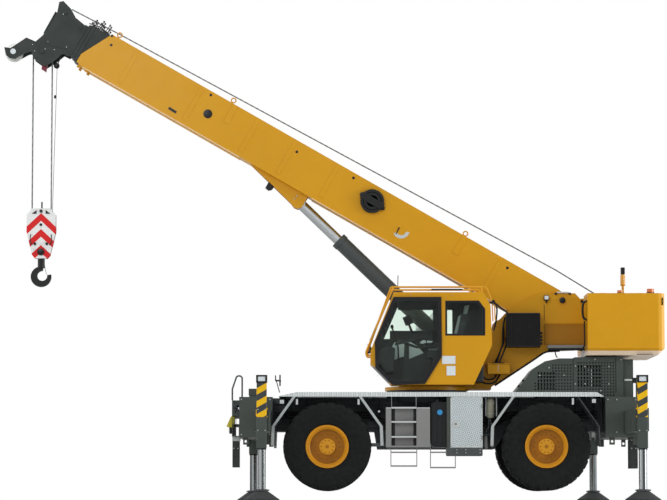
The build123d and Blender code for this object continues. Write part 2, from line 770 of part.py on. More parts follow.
# ================================================================ cab
cab_side = [  # X, Z round the cab's side
    (588.0, cab_roof_z), (-930.0, cab_roof_z), (-1047.0, 3288.0), (-1073.0, 2614.0), (-761.0, cab_bottom_z),
    (622.0, cab_bottom_z), (976.0, 2310.0), (976.0, 2530.0),
]
door_window = [
    (568.0, 3390.0), (-179.0, 3390.0), (-187.0, 2428.0), (83.0, 1990.0), (605.0, 1973.0), (866.0, 2243.0),
    (875.0, 2664.0),
]
runner_h = 20.0
door_runners = [  # rear X, front X, low Z of the strips the door rides on
    (-830.0, 560.0, 3396.0),
    (-740.0, 600.0, 1950.0),
]
rear_window = [(-290.0, 3356.0), (-845.0, 3356.0), (-946.0, 3220.0), (-946.0, 2782.0), (-290.0, 2782.0)]


def grown(points, amount):
    """The XZ face of an outline, moved out by an amount."""
    face = Plane.XZ * Polygon(*points, align=None)
    return offset(face, amount=amount, kind=Kind.INTERSECTION)


def cab_ring():
    """Floor, front, roof and rear of the cab as one closed band."""
    whole = slab(cab_side, cab_in + cab_wall, cab_out - cab_wall)
    return whole - face_slab(grown(cab_side, -cab_wall), cab_in + cab_wall - 1, cab_out - cab_wall + 1)


def cab_floor():
    """Floor pan with the low front panel and the sloping rear foot."""
    cut_z = 2500.0
    return cab_ring() & block(-2000, 2000, 0, 2000, 0, cut_z)


def cab_roof():
    """Roof panel, between the windscreen frame and the rear wall."""
    return cab_ring() & block(-990.0, 560.0, 0, 2000, 3300.0, 4000)


def screen_opening(gap):
    """The windscreen's opening, or its pane's reach where a gap is given."""
    border = cab_wall + 45.0 + gap
    return block(560.0, 2000, cab_in + border, cab_out - border, 2560.0 + gap, 3430.0 - gap)


def back_opening(gap):
    """The rear wall's window, or its pane's reach where a gap is given."""
    border = 150.0 + gap
    return block(-2000, -990.0, cab_in + border, cab_out - border, 2750.0 + gap, 3240.0 - gap)


def cab_front():
    """Windscreen frame between floor and roof."""
    frame = cab_ring() & block(560.0, 2000, 0, 2000, 2500.0, 4000)
    return frame - screen_opening(0)


def cab_rear_wall():
    """Rear wall with its window."""
    wall = cab_ring() & block(-2000, -990.0, 0, 2000, 2500.0, 4000)
    return wall - back_opening(0)


def cab_left_wall():
    """Left wall with the doorway, the rear side window and the door's two runner strips."""
    wall = slab(cab_side, cab_out - cab_wall, cab_out)
    wall -= slab(door_window, cab_out - cab_wall, cab_out)
    wall -= slab(rear_window, cab_out - cab_wall, cab_out)
    strip_t = door_gap - touch
    for x0, x1, z in door_runners:
        wall += block(x0, x1, cab_out, cab_out + strip_t, z, z + runner_h)
    return wall


right_window = [(480.0, 3360.0), (-820.0, 3360.0), (-820.0, 2760.0), (740.0, 2760.0)]


def cab_right_wall():
    """Right wall with one long window."""
    wall = slab(cab_side, cab_in, cab_in + cab_wall)
    return wall - slab(right_window, cab_in, cab_in + cab_wall)


def cab_door():
    """Door frame that slides rearward outside the wall."""
    lap = 35.0
    border = 60.0
    y0 = cab_out + door_gap
    outer = face_slab(grown(door_window, lap), y0, y0 + door_t)
    return outer - face_slab(grown(door_window, lap - border), y0 - 1, y0 + door_t + 1)


def door_glass():
    """The door's pane, seated in its frame."""
    inset = -25.0
    y0 = cab_out + door_gap + door_t / 2 - glass_t / 2
    return face_slab(grown(door_window, inset - touch), y0, y0 + glass_t)


def cab_glass():
    """Windscreen and the fixed side and rear panes."""
    pane_y = cab_out - cab_wall / 2
    pane_in = 22.0
    panes = face_slab(grown(rear_window, -touch), pane_y, pane_y + glass_t)
    panes += face_slab(grown(right_window, -touch), cab_in + pane_in, cab_in + pane_in + glass_t)
    band = face_slab(grown(cab_side, -pane_in), cab_in, cab_out)
    band -= face_slab(grown(cab_side, -pane_in - glass_t), cab_in - 1, cab_out + 1)
    return panes + (band & screen_opening(touch)) + (band & back_opening(touch))


def cab_seat():
    """Operator's seat on its pedestal."""
    y0, y1 = 620.0, 1080.0
    floor_z = cab_bottom_z + cab_wall
    seat = block(-480, -60, y0 + 60, y1 - 60, floor_z, 2400)
    seat += block(-560, 0, y0, y1, 2400, 2530)
    seat += slab([(-560, 2530), (-430, 2530), (-560, 3150), (-680, 3150)], y0 + 20, y1 - 20)
    return seat


def cab_console():
    """Steering column and dash behind the windscreen."""
    floor_z = cab_bottom_z + cab_wall
    column = slab([(330, floor_z), (430, floor_z), (400, 2644), (320, 2644)], 800, 900)
    wheel = Pos(340, 850, 2650) * Rot(0, -20, 0) * Torus(180, 14)
    hub = Pos(340, 850, 2640) * Rot(0, -20, 0) * Box(370, 30, 12)
    return column + wheel + hub


def guard_rail():
    """Tube guard in front of the windscreen and over the roof."""
    tube_r = 16.0
    low = (1060.0, 2445.0)
    knee = (630.0, 3600.0)
    back_x = -900.0
    front_x = cab_side[6][0]
    rails = None
    for y in (cab_in + 75.0, cab_out - 75.0):
        path = [(front_x, y, low[1]), (low[0], y, low[1]), (knee[0], y, knee[1]), (back_x, y, knee[1]),
                (back_x, y, cab_roof_z)]
        rail = bent_tube(path, 40.0, tube_r)
        rails = rail if rails is None else rails + rail
    return rails


# ================================================================ boom
def section_outline(step):
    """Half width, top and bottom of a boom section, 0 the outermost."""
    shrink = 0 if step == 0 else boom_wall + section_gap + (step - 1) * (section_wall + section_gap)
    drop = 0 if step == 0 else boom_wall + section_gap + 8 + (step - 1) * (section_wall + section_gap + 8)
    return boom_half_w - shrink, boom_top_v - drop, boom_bottom_v + drop


def section_start(step):
    """Rear end of an inner section."""
    return 720.0 + 40.0 * step


def collar_start(step):
    """Rear face of an inner section's front collar."""
    return boom_front_bottom_u + 10.0 + (step - 1) * (collar_len + collar_gap)


def inner_section(step):
    """An inner boom section: a box tube with a stiff collar at its front end."""
    half, top, bottom = section_outline(step)
    u0 = section_start(step)
    u1 = collar_start(step) + collar_len
    tube = block(u0, u1, -half, half, bottom, top)
    rim_out = 12.0
    collar = block(u1 - collar_len, u1, -half - rim_out, half + rim_out, bottom - rim_out, top + rim_out)
    shell = tube + collar
    inside = half - section_wall
    shell -= block(u0, u1 - collar_len, -inside, inside, bottom + section_wall, top - section_wall)
    next_half, next_top, next_bottom = section_outline(step + 1)
    shell -= block(u1 - collar_len, u1, -next_half - touch, next_half + touch,
                   next_bottom - touch, next_top + touch)
    return shell


def boom_base():
    """Base section: foot lug, box tube, front collar and the cylinder's bracket."""
    outline = [
        (120.0, boom_top_v), (boom_front_top_u, boom_top_v), (boom_front_bottom_u, -420.0),
        (boom_front_bottom_u, boom_bottom_v + 25), (boom_lip_u, boom_bottom_v), (boom_knee_u, boom_bottom_v), (340.0, -130.0), (60.0, -150.0), (-110.0, -110.0), (-150.0, 0.0),
        (-110.0, 95.0),
    ]
    cavity = [
        (700.0, boom_bottom_v + boom_wall), (9600.0, boom_bottom_v + boom_wall),
        (9600.0, boom_top_v - boom_wall), (430.0, boom_top_v - boom_wall), (430.0, -150.0),
    ]
    inside = boom_half_w - boom_wall
    tube = slab(outline, -boom_half_w, boom_half_w) - slab(cavity, -inside, inside)
    half, top, bottom = section_outline(1)
    pad = block(8890.0, 8990.0, -inside - 1, inside + 1, boom_bottom_v + 1, boom_top_v - 1)
    pad -= block(8880.0, 9000.0, -half - touch, half + touch, bottom - touch, top + touch)
    tube += pad
    tube += rod_y(0, 0, pivot_pin_r, -cheek_out - boss_t, cheek_out + boss_t)
    bracket = [
        (5850.0, boom_bottom_v), (4892.0, -846.0), (4818.0, -880.0), (4740.0, -870.0), (4695.0, -820.0),
        (4695.0, boom_bottom_v),
    ]
    for side in (-1, 1):
        near = side * (lift_eye_half_w + side_gap)
        tube += slab(bracket, near, near + side * lift_bracket_t)
    reach = lift_eye_half_w + side_gap + lift_bracket_t
    tube += rod_y(lift_pin_u, lift_pin_v, lift_pin_r, -reach, reach)
    return boom_frame * tube


def boom_section(step):
    """A telescoping section in its place on the raised boom."""
    return boom_frame * inner_section(step)


def boom_tip():
    """Innermost section with the head plates and the auxiliary nose."""
    half, top, bottom = section_outline(3)
    u0 = section_start(3)
    u1 = collar_start(3) + collar_len
    inside = half - section_wall
    tube = block(u0, u1, -half, half, bottom, top)
    tube += block(u1 - collar_len, u1, -half - 12, half + 12, bottom - 12, top + 12)
    tube -= block(u0, u1 + 1, -inside, inside, bottom + section_wall, top - section_wall)
    back_u = u1 - collar_len
    head = [
        (back_u, top - section_wall), (9745.0, 88.0), (9895.0, 182.0), (10080.0, 236.0), (10135.0, 184.0),
        (10074.0, 10.0), (10070.0, -240.0), (10090.0, -470.0), (10142.0, -619.0), (10316.0, -638.0),
        (10460.0, -933.0), (10565.0, -975.0), (10466.0, -1080.0), (10390.0, -1094.0), (10306.0, -1062.0),
        (10176.0, -852.0), (10122.0, -808.0), (10080.0, -843.0), (10016.0, -892.0), (9788.0, -918.0),
        (9705.0, -768.0), (9625.0, -565.0), (9520.0, -560.0), (back_u, bottom + section_wall),
    ]
    plate = slab(head, inside - head_plate_t, inside)
    for u, v in ((head_axle_u, head_axle_v), (top_axle_u, top_axle_v), (nose_axle_u, nose_axle_v)):
        plate -= rod_y(u, v, sheave_axle_r + touch, inside - head_plate_t - 1, inside + 1)
    tube += both_sides(plate)
    tube += block(back_u, back_u + 30, -inside, inside, bottom + section_wall, top - section_wall)
    return boom_frame * tube


def sheave_set(u, v, outer_r, places):
    """Grooved sheaves on one axle between the head plates, places given across the boom."""
    half, _, _ = section_outline(3)
    reach = half - section_wall
    gap = 12.0
    set_half = reach - head_plate_t - gap
    groove_half = 12.0
    groove_r = outer_r - (sheave_r - sheave_groove_r)
    wheels = rod_y(0, 0, sheave_axle_r, -reach, reach)
    wheels += rod_y(0, 0, sheave_axle_r + 30, -set_half, set_half)
    for y in places:
        wheel = rod_y(0, 0, outer_r, y - sheave_w / 2, y + sheave_w / 2)
        ring = rod_y(0, 0, outer_r + 1, y - groove_half, y + groove_half)
        ring -= rod_y(0, 0, groove_r, y - groove_half, y + groove_half)
        wheels += wheel - ring
    return Pos(u, 0, v) * wheels


def boom_sheaves():
    """Head, top and nose sheaves of the boom."""
    pair = [-sheave_pitch / 2, sheave_pitch / 2]
    main = sheave_set(head_axle_u, head_axle_v, sheave_r, pair)
    upper = sheave_set(top_axle_u, top_axle_v, top_sheave_r, pair)
    nose = sheave_set(nose_axle_u, nose_axle_v, nose_sheave_r, [0.0])
    return boom_frame * (main + upper + nose)


def cable_reel():
    """Spring reel for the boom's signal cable, on the left of the base section."""
    u, v, reel_r = 3683.0, -133.0, 206.0
    y0 = boom_half_w
    reel = rod_y(u, v, 60.0, y0, y0 + 20)
    reel += rod_y(u, v, reel_r, y0 + 20, y0 + 30)
    reel += rod_y(u, v, reel_r - 45, y0 + 30, y0 + 60)
    reel += rod_y(u, v, reel_r, y0 + 60, y0 + 70)
    return boom_frame * reel


# ================================================================ lift cylinder
def lift_rod():
    """Chromed rod with the eye that takes the boom's pin."""
    eye = rod_y(lift_len, 0, lift_eye_r, -lift_eye_half_w, lift_eye_half_w)
    rod = rod_x(0, 0, rod_r, rod_start, lift_len - lift_eye_r / 2) + eye
    return lift_frame * (rod - rod_y(lift_len, 0, lift_pin_r + pin_gap, -lift_eye_half_w, lift_eye_half_w))


def lift_barrel():
    """Cylinder barrel with its gland collar and foot eye."""
    base_x = 110.0
    barrel = rod_x(0, 0, barrel_r, base_x, barrel_len)
    barrel += rod_x(0, 0, collar_r, barrel_len - 90, barrel_len)
    barrel += rod_y(0, 0, foot_eye_r, -foot_eye_half_w, foot_eye_half_w)
    gland = 80.0
    barrel -= rod_x(0, 0, barrel_r - barrel_wall, base_x + 45, barrel_len - gland)
    barrel -= rod_x(0, 0, rod_r + touch, base_x + 45, barrel_len + 1)
    barrel -= rod_y(0, 0, 60.0, -foot_eye_half_w, foot_eye_half_w)
    return lift_frame * barrel


# ================================================================ hook block
def hoist_falls():
    """Four falls of hoist rope between the head sheaves and the block."""
    reach = sheave_groove_r + rope_r + touch
    falls = None
    for y in (-sheave_pitch / 2, sheave_pitch / 2):
        for x in (-reach, reach):
            fall = rod_z(head_axle_x + x, y, rope_r, block_axle_z, head_axle_z)
            falls = fall if falls is None else falls + fall
    return falls


def hook_block():
    """Two cheek plates with two sheaves between them and the crosshead below."""
    outline = [
        (-0.62 * block_top_half_w, block_top_z), (-block_top_half_w, block_top_z - 110),
        (-block_top_half_w, block_axle_z - 120), (-block_low_half_w, block_bottom_z + 60),
        (-block_low_half_w + 50, block_bottom_z), (block_low_half_w - 50, block_bottom_z),
        (block_low_half_w, block_bottom_z + 60), (block_top_half_w, block_axle_z - 120),
        (block_top_half_w, block_top_z - 110), (0.62 * block_top_half_w, block_top_z),
    ]
    plate = slab(outline, block_half_t - block_plate_t, block_half_t)
    body = both_sides(plate)
    cross_z = block_bottom_z + 95
    inner = block_half_t - block_plate_t
    body += block(-110, 110, -inner, inner, cross_z - 60, cross_z + 60)
    body += rod_y(0, block_axle_z, sheave_axle_r, -block_half_t - 25, block_half_t + 25)
    for y in (-sheave_pitch / 2, sheave_pitch / 2):
        half = min(sheave_w / 2, sheave_pitch / 2 - 3)
        wheel = rod_y(0, block_axle_z, sheave_r, y - half, y + half)
        ring = rod_y(0, block_axle_z, sheave_r + 1, y - 12, y + 12)
        ring -= rod_y(0, block_axle_z, sheave_groove_r, y - 12, y + 12)
        body += wheel - ring
    body -= rod_z(0, 0, hook_shank_r + pin_gap, block_bottom_z - 1, cross_z + 61)
    return Pos(head_axle_x, 0, 0) * body


def hook():
    """Single forged hook on a swivelling shank with its nut."""
    tip_x = -40.0
    outer = Pos(0, 0, hook_ring_z) * Rot(90, 0, 0) * Cylinder(hook_outer_r, hook_t)
    inner = Pos(-22, 0, hook_ring_z + 14) * Rot(90, 0, 0) * Cylinder(hook_inner_r, hook_t + 2)
    mouth = slab([(-22, hook_ring_z + 14), (-300, hook_ring_z + 60), (-300, hook_ring_z + 260),
                  (tip_x, hook_ring_z + 200)], -hook_t, hook_t)
    body = outer - inner - mouth
    shank_top = block_bottom_z + 95 + 60
    body += rod_z(0, 0, hook_shank_r, hook_ring_z + hook_outer_r - 60, shank_top + 70)
    body += rod_z(0, 0, 62.0, hook_ring_z + hook_outer_r - 30, block_bottom_z - touch)
    body += rod_z(0, 0, 66.0, shank_top + touch, shank_top + 50)
    return Pos(head_axle_x, 0, 0) * body


# ================================================================ the crane
def wheel_at(shape, axle_x, side):
    """A left wheel's piece, moved to its axle and mirrored for the right side."""
    placed = Pos(axle_x, wheel_plane_y, axle_z) * shape
    return placed if side > 0 else mirror(placed, about=Plane.XZ)


nodes = {
    "chassis_frame": chassis_frame(),
    "outrigger_boxes": outrigger_boxes(),
    "carrier_deck": carrier_deck(),
    "fenders": fenders(),
    "engine_hood": engine_hood(),
    "engine_block": engine_block(),
    "front_bumper": front_bumper() + grab_rail(),
    "hanging_steps": hanging_steps(),
    "side_ladder": side_ladder(),
    "toolbox": toolbox(),
    "side_tanks": side_tanks(),
    "lamps": lamps(),
    "axles": axles(),
    "turret": turret(),
    "counterweight": counterweight(),
    "main_winch": winch(main_winch_x),
    "aux_winch": winch(aux_winch_x),
    "cooler_box": cooler_box(),
    "beacons": beacons(),
    "cab_floor": cab_floor(),
    "cab_roof": cab_roof() + cab_front(),
    "cab_rear_wall": cab_rear_wall(),
    "cab_left_wall": cab_left_wall(),
    "cab_right_wall": cab_right_wall(),
    "cab_glass": cab_glass(),
    "cab_door": cab_door(),
    "door_glass": door_glass(),
    "cab_interior": cab_seat() + cab_console(),
    "guard_rail": guard_rail(),
    "boom_base": boom_base(),
    "boom_section_2": boom_section(1),
    "boom_section_3": boom_section(2),
    "boom_tip": boom_tip(),
    "boom_sheaves": boom_sheaves(),
    "cable_reel": cable_reel(),
    "lift_rod": lift_rod(),
    "lift_barrel": lift_barrel(),
    "hoist_falls": hoist_falls(),
    "hook_block": hook_block(),
    "hook": hook(),
}

corners = [  # name, axle X, outrigger beam X, side
    ("front_left", front_axle_x, box_front_x - beam_pitch / 2, 1),
    ("front_right", front_axle_x, box_front_x + beam_pitch / 2, -1),
    ("rear_left", rear_axle_x, box_rear_x - beam_pitch / 2, 1),
    ("rear_right", rear_axle_x, box_rear_x + beam_pitch / 2, -1),
]
for name, axle_x, beam_x, side in corners:
    left_knuckle = Pos(axle_x, 0, axle_z) * knuckle()
    nodes[f"knuckle_{name}"] = left_knuckle if side > 0 else mirror(left_knuckle, about=Plane.XZ)
    nodes[f"tyre_{name}"] = wheel_at(tyre(), axle_x, side)
    nodes[f"rim_{name}"] = wheel_at(rim(), axle_x, side)
    nodes[f"beam_{name}"] = outrigger_beam(beam_x, side)
    nodes[f"jack_{name}"] = outrigger_jack(beam_x, side)

os.makedirs("parts", exist_ok=True)
for name, shape in nodes.items():
    export_step(Pos(slew_x, 0, 0) * shape, f"parts/{name}.step")
print(f"{len(nodes)} nodes, slew axis at X = {slew_x:.1f}")
print(f"head axle X {head_axle_x + slew_x:.1f} Z {head_axle_z:.1f}")
print(f"lift pin X {lift_pin_x + slew_x:.1f} Z {lift_pin_z:.1f}, length {lift_len:.1f}, angle {lift_angle:.2f}")
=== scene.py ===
import json

import bpy
import numpy as np
from bpy.props import FloatProperty, FloatVectorProperty, IntProperty, PointerProperty
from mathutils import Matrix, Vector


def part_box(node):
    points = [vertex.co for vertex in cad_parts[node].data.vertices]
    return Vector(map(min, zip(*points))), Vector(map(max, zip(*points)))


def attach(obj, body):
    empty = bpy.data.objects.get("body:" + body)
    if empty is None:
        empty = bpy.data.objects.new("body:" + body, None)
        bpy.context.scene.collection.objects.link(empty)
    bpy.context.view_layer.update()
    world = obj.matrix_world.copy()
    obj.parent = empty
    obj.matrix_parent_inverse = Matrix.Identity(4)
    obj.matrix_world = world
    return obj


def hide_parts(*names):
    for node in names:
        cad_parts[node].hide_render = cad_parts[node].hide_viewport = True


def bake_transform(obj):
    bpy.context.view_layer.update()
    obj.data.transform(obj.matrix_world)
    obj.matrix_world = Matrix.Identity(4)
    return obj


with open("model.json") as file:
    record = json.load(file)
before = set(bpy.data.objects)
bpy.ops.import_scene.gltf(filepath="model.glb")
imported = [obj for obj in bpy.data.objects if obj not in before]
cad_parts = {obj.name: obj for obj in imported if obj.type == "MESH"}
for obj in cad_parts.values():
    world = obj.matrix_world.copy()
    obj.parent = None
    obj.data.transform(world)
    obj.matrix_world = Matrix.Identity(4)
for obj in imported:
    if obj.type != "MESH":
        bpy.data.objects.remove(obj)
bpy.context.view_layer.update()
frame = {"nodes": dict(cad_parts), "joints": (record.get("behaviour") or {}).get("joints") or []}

bl_info = {
    "name": "Rough Terrain Crane Dressing",
    "version": (1, 0, 0),
    "blender": (4, 5, 0),
    "location": "View3D > Sidebar > Crane",
    "description": "Finishes and fittings for a two-axle rough-terrain crane",
    "category": "Object",
}

# ------------------------------------------------------------------ places taken from the frame
JOINTS = {joint["name"]: joint for joint in frame["joints"]}
NODES = frame["nodes"]
SLEW_X = JOINTS["slew"]["pos_m"][0]
PIVOT = np.array(JOINTS["boom_lift"]["pos_m"])
RUN = np.array(JOINTS["boom_extend"]["axis"], float)
RISE = np.array([-RUN[2], 0.0, RUN[0]])
HEAD_AXLE = np.array(JOINTS["hook_plumb"]["pos_m"])
NOSE_AXLE = (10.392, -0.962)  # along the boom and square to it
CORNERS = ("front_left", "front_right", "rear_left", "rear_right")

# sides of the solids that fittings stand on, as distances from the crane's middle plane in metres
DECK_EDGE = 1.200
BOX_FACE = 1.100
FRAME_SIDE = 0.441
HOOD_SIDE = 0.799
TURRET_SIDE = 0.311
LOCKER_SIDE = 0.5195
BOOM_SIDE = 0.258
TIP_SIDE = 0.182
BLOCK_SIDE = 0.094


def low_high(node):
    """Lowest and highest corner of a CAD node as arrays, in metres."""
    low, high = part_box(node)
    return np.array(low), np.array(high)


# ------------------------------------------------------------------ outlines and surfaces
def circle(radius, count=16):
    """Points at equal angles round a circle."""
    angle = np.arange(count) * 2 * np.pi / count
    return np.stack([np.cos(angle), np.sin(angle)], -1) * radius


def rounded(points, reach, count=4, loop=True):
    """Corners replaced by parabolas that leave each side at a reach before the corner and rejoin after it."""
    p = np.asarray(points, float)
    back, ahead = np.roll(p, 1, 0) - p, np.roll(p, -1, 0) - p
    back_len = np.linalg.norm(back, axis=1, keepdims=True)
    ahead_len = np.linalg.norm(ahead, axis=1, keepdims=True)
    start = p + back / back_len * np.minimum(reach, back_len * 0.45)
    end = p + ahead / ahead_len * np.minimum(reach, ahead_len * 0.45)
    t = np.linspace(0, 1, count)[None, :, None]
    arcs = (1 - t) ** 2 * start[:, None] + 2 * t * (1 - t) * p[:, None] + t ** 2 * end[:, None]
    if loop:
        return arcs.reshape(-1, p.shape[1])
    return np.concatenate([p[:1], arcs[1:-1].reshape(-1, p.shape[1]), p[-1:]])


def inset(outline, amount):
    """Each point moved inward along the mean of its two edges' normals."""
    edge = np.roll(outline, -1, 0) - outline
    edge = edge / np.linalg.norm(edge, axis=1, keepdims=True)
    normal = np.stack([-edge[:, 1], edge[:, 0]], -1)
    nxt = np.roll(outline, -1, 0)
    area = np.sum(outline[:, 0] * nxt[:, 1] - nxt[:, 0] * outline[:, 1])
    mean = normal + np.roll(normal, 1, 0)
    mean = mean / np.maximum(np.linalg.norm(mean, axis=1, keepdims=True), 1e-6)
    return outline + mean * amount * np.sign(area)


def skin(grid, wrap=False):
    """A closed surface over a grid of points: each row goes round the form, and the ends are capped, or with
    wrap joined end to end. Faces are turned outward by the sign of the enclosed volume."""
    rows, cols = grid.shape[:2]
    verts = grid.reshape(-1, 3)
    i = np.arange(rows if wrap else rows - 1)[:, None]
    j = np.arange(cols)[None, :]
    k, m = (i + 1) % rows, (j + 1) % cols
    quads = np.stack([i * cols + j, i * cols + m, k * cols + m, k * cols + j], -1).reshape(-1, 4)
    first = np.arange(cols)
    ends = np.zeros((0, cols), int) if wrap else np.stack([first[::-1], first + (rows - 1) * cols])
    middle = verts - verts.mean(0)
    a, b, c, d = (middle[quads[:, n]] for n in range(4))
    volume = np.sum(a * np.cross(b, c)) + np.sum(a * np.cross(c, d))
    for end in ends:
        volume += np.sum(middle[end[0]] * np.cross(middle[end[1:-1]], middle[end[2:]]))
    if volume < 0:
        quads, ends = quads[:, ::-1], ends[:, ::-1]
    return verts, quads, ends


def prism(outline, low, high, edge=0.002, axis=1):
    """An outline carried straight between two places along an axis, with a bevelled edge at both ends."""
    outline = np.asarray(outline, float)
    low, high = min(low, high), max(low, high)
    steps = [(low, edge), (low + edge, 0), (high - edge, 0), (high, edge)]
    rows = [np.insert(inset(outline, shrink), axis, depth, axis=1) for depth, shrink in steps]
    return skin(np.stack(rows))


def box(low, high, edge=0.003, axis=1):
    """A box between two corners with bevelled edges, as a rounded rectangle carried along an axis."""
    low, high = np.minimum(low, high), np.maximum(low, high)
    a, b = [n for n in range(3) if n != axis]
    corners = [(low[a], low[b]), (high[a], low[b]), (high[a], high[b]), (low[a], high[b])]
    return prism(rounded(corners, edge * 1.5, 3), low[axis], high[axis], edge, axis)


def carried(path, profile, up=(0, 1, 0), closed=False):
    """A profile carried along a path: each point is the path's point plus the profile's two numbers times the
    path's side and over directions."""
    path = np.asarray(path, float)
    step = np.roll(path, -1, 0) - np.roll(path, 1, 0) if closed else np.gradient(path, axis=0)
    ahead = step / np.linalg.norm(step, axis=1, keepdims=True)
    side = np.cross(ahead, up)
    side = side / np.linalg.norm(side, axis=1, keepdims=True)
    over = np.cross(side, ahead)
    grid = path[:, None] + side[:, None] * profile[None, :, :1] + over[:, None] * profile[None, :, 1:]
    return skin(grid, wrap=closed)


def tube(points, radius, reach=0.05, up=(0, 1, 0), count=10, bend=5):
    """A round tube along a path whose corners are rounded."""
    path = rounded(points, reach, bend, loop=False) if len(points) > 2 else np.asarray(points, float)
    return carried(path, circle(radius, count), up)


def turned(profile, centre, axis=1, count=24, wrap=False):
    """A profile of (place along the axis, radius) pairs turned round an axis through the centre."""
    profile = np.asarray(profile, float)
    ring = circle(1.0, count)
    grid = np.zeros((len(profile), count, 3))
    a, b = [n for n in range(3) if n != axis]
    grid[..., axis] = profile[:, None, 0]
    grid[..., a] = profile[:, None, 1] * ring[None, :, 0]
    grid[..., b] = profile[:, None, 1] * ring[None, :, 1]
    return skin(grid + np.asarray(centre, float), wrap)


def repeat(shape, offsets):
    """Copies of a shape, moved by each offset."""
    verts, quads, ends = shape
    offsets = np.asarray(offsets, float)
    jump = (np.arange(len(offsets)) * len(verts))[:, None, None]
    return ((verts[None] + offsets[:, None]).reshape(-1, 3), (quads[None] + jump).reshape(-1, quads.shape[1]),
            (ends[None] + jump).reshape(-1, ends.shape[1]))


def on_boom(shapes):
    """Shapes drawn in (along the boom, across it, square to it) moved to the raised boom."""
    return [(PIVOT + verts[:, :1] * RUN + verts[:, 1:2] * [0, 1, 0] + verts[:, 2:] * RISE, quads, ends)
            for verts, quads, ends in shapes]


def boom_point(u, v, y=0.0):
    """The place of a point given along and square to the boom."""
    return PIVOT + u * RUN + v * RISE + np.array([0, y, 0])


def piece(name, body, parts, sharp=35.0):
    """One object from (material, shapes) pairs, riding on a CAD body if one is named. It is smooth but for
    edges over the sharp angle."""
    verts, faces, marks, base = [], [], [], 0
    mesh = bpy.data.meshes.new(name)
    for number, (finish, shapes) in enumerate(parts):
        mesh.materials.append(MATERIALS[finish])
        for points, quads, ends in shapes:
            verts.append(points)
            faces += (quads + base).tolist() + (ends + base).tolist()
            marks += [number] * (len(quads) + len(ends))
            base += len(points)
    mesh.from_pydata(np.concatenate(verts).tolist(), [], faces)
    mesh.polygons.foreach_set("material_index", marks)
    mesh.update()
    mesh.shade_smooth()
    mesh.set_sharp_from_angle(angle=np.radians(sharp))
    made = bpy.data.objects.new(name, mesh)
    bpy.context.scene.collection.objects.link(made)
    if body:
        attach(made, body)
    return made


# ------------------------------------------------------------------ materials
MATERIALS = {}


def linear(colour):
    """A #RRGGBB colour in sRGB as linear red, green, blue and 1."""
    value = np.array([int(colour[n:n + 2], 16) for n in (1, 3, 5)]) / 255
    value = np.where(value <= 0.04045, value / 12.92, ((value + 0.055) / 1.055) ** 2.4)
    return (*value.tolist(), 1.0)


def add(tree, kind, settings=None, out=0, **inputs):
    """Adds a node with its settings, then sets or links its inputs by name or by i and a number. Gives the
    output that out names or numbers, or the node itself where out is None."""
    node = tree.nodes.new(kind)
    for key, value in (settings or {}).items():
        setattr(node, key, value)
    for key, value in inputs.items():
        socket = node.inputs[int(key[1:])] if key[1:].isdigit() else node.inputs[key.replace("_", " ")]
        if isinstance(value, bpy.types.NodeSocket):
            tree.links.new(value, socket)
        else:
            socket.default_value = value
    return node if out is None else node.outputs[out]


BANDS = 20 / (2 * np.pi)  # bands of a Wave texture over one unit of its scaled place, along X, Y or Z


def per_mm(size):
    """Pattern scale in Object coordinates for features of a size in millimetres."""
    return 1000.0 / size


def start(name):
    """A new material with its node tree, its Principled shader and its Object coordinates."""
    made = bpy.data.materials.new(name)
    made.use_nodes = True
    tree = made.node_tree
    MATERIALS[name] = made
    place = add(tree, "ShaderNodeTexCoord", out=3)
    return tree, tree.nodes["Principled BSDF"], place


def varied(tree, place, colour, spread, size_mm):
    """The colour made a little lighter and darker over patches of a size."""
    patch = add(tree, "ShaderNodeTexNoise", Vector=place, Scale=per_mm(size_mm), Detail=4.0, Roughness=0.6)
    change = add(tree, "ShaderNodeMapRange", Value=patch, i1=0.3, i2=0.7, i3=1 - spread, i4=1 + spread)
    dye = colour if isinstance(colour, bpy.types.NodeSocket) else linear(colour)[:3]
    return add(tree, "ShaderNodeVectorMath", {"operation": "SCALE"}, i0=dye, Scale=change)


def raised(tree, shader, height, depth_mm, strength=1.0):
    """Bump of a depth from a 0 to 1 height."""
    bump = add(tree, "ShaderNodeBump", Height=height, Distance=depth_mm / 1000, Strength=strength)
    tree.links.new(bump, shader.inputs["Normal"])


def rough_spread(tree, shader, place, low, high, size_mm):
    """Roughness that wanders between two values over patches of a size."""
    patch = add(tree, "ShaderNodeTexNoise", Vector=place, Scale=per_mm(size_mm), Detail=3.0)
    rough = add(tree, "ShaderNodeMapRange", Value=patch, i1=0.3, i2=0.7, i3=low, i4=high)
    tree.links.new(rough, shader.inputs["Roughness"])


def swap(tree, mask, base, over):
    """One colour where the mask is 0 and another where it is 1."""
    pick = [value if isinstance(value, bpy.types.NodeSocket) else linear(value) for value in (base, over)]
    return add(tree, "ShaderNodeMix", {"data_type": "RGBA"}, out=2, i0=mask, i6=pick[0], i7=pick[1])


def within(tree, value, low, high):
    """1 where a value lies between two limits."""
    above = add(tree, "ShaderNodeMath", {"operation": "GREATER_THAN"}, i0=value, i1=low)
    below = add(tree, "ShaderNodeMath", {"operation": "LESS_THAN"}, i0=value, i1=high)
    return add(tree, "ShaderNodeMath", {"operation": "MULTIPLY"}, i0=above, i1=below)


def both(tree, *masks):
    """The product of several masks."""
    result = masks[0]
    for mask in masks[1:]:
        result = add(tree, "ShaderNodeMath", {"operation": "MULTIPLY"}, i0=result, i1=mask)
    return result


def axes(tree, place):
    """The three coordinates of a place."""
    return tuple(add(tree, "ShaderNodeSeparateXYZ", out=None, Vector=place).outputs)


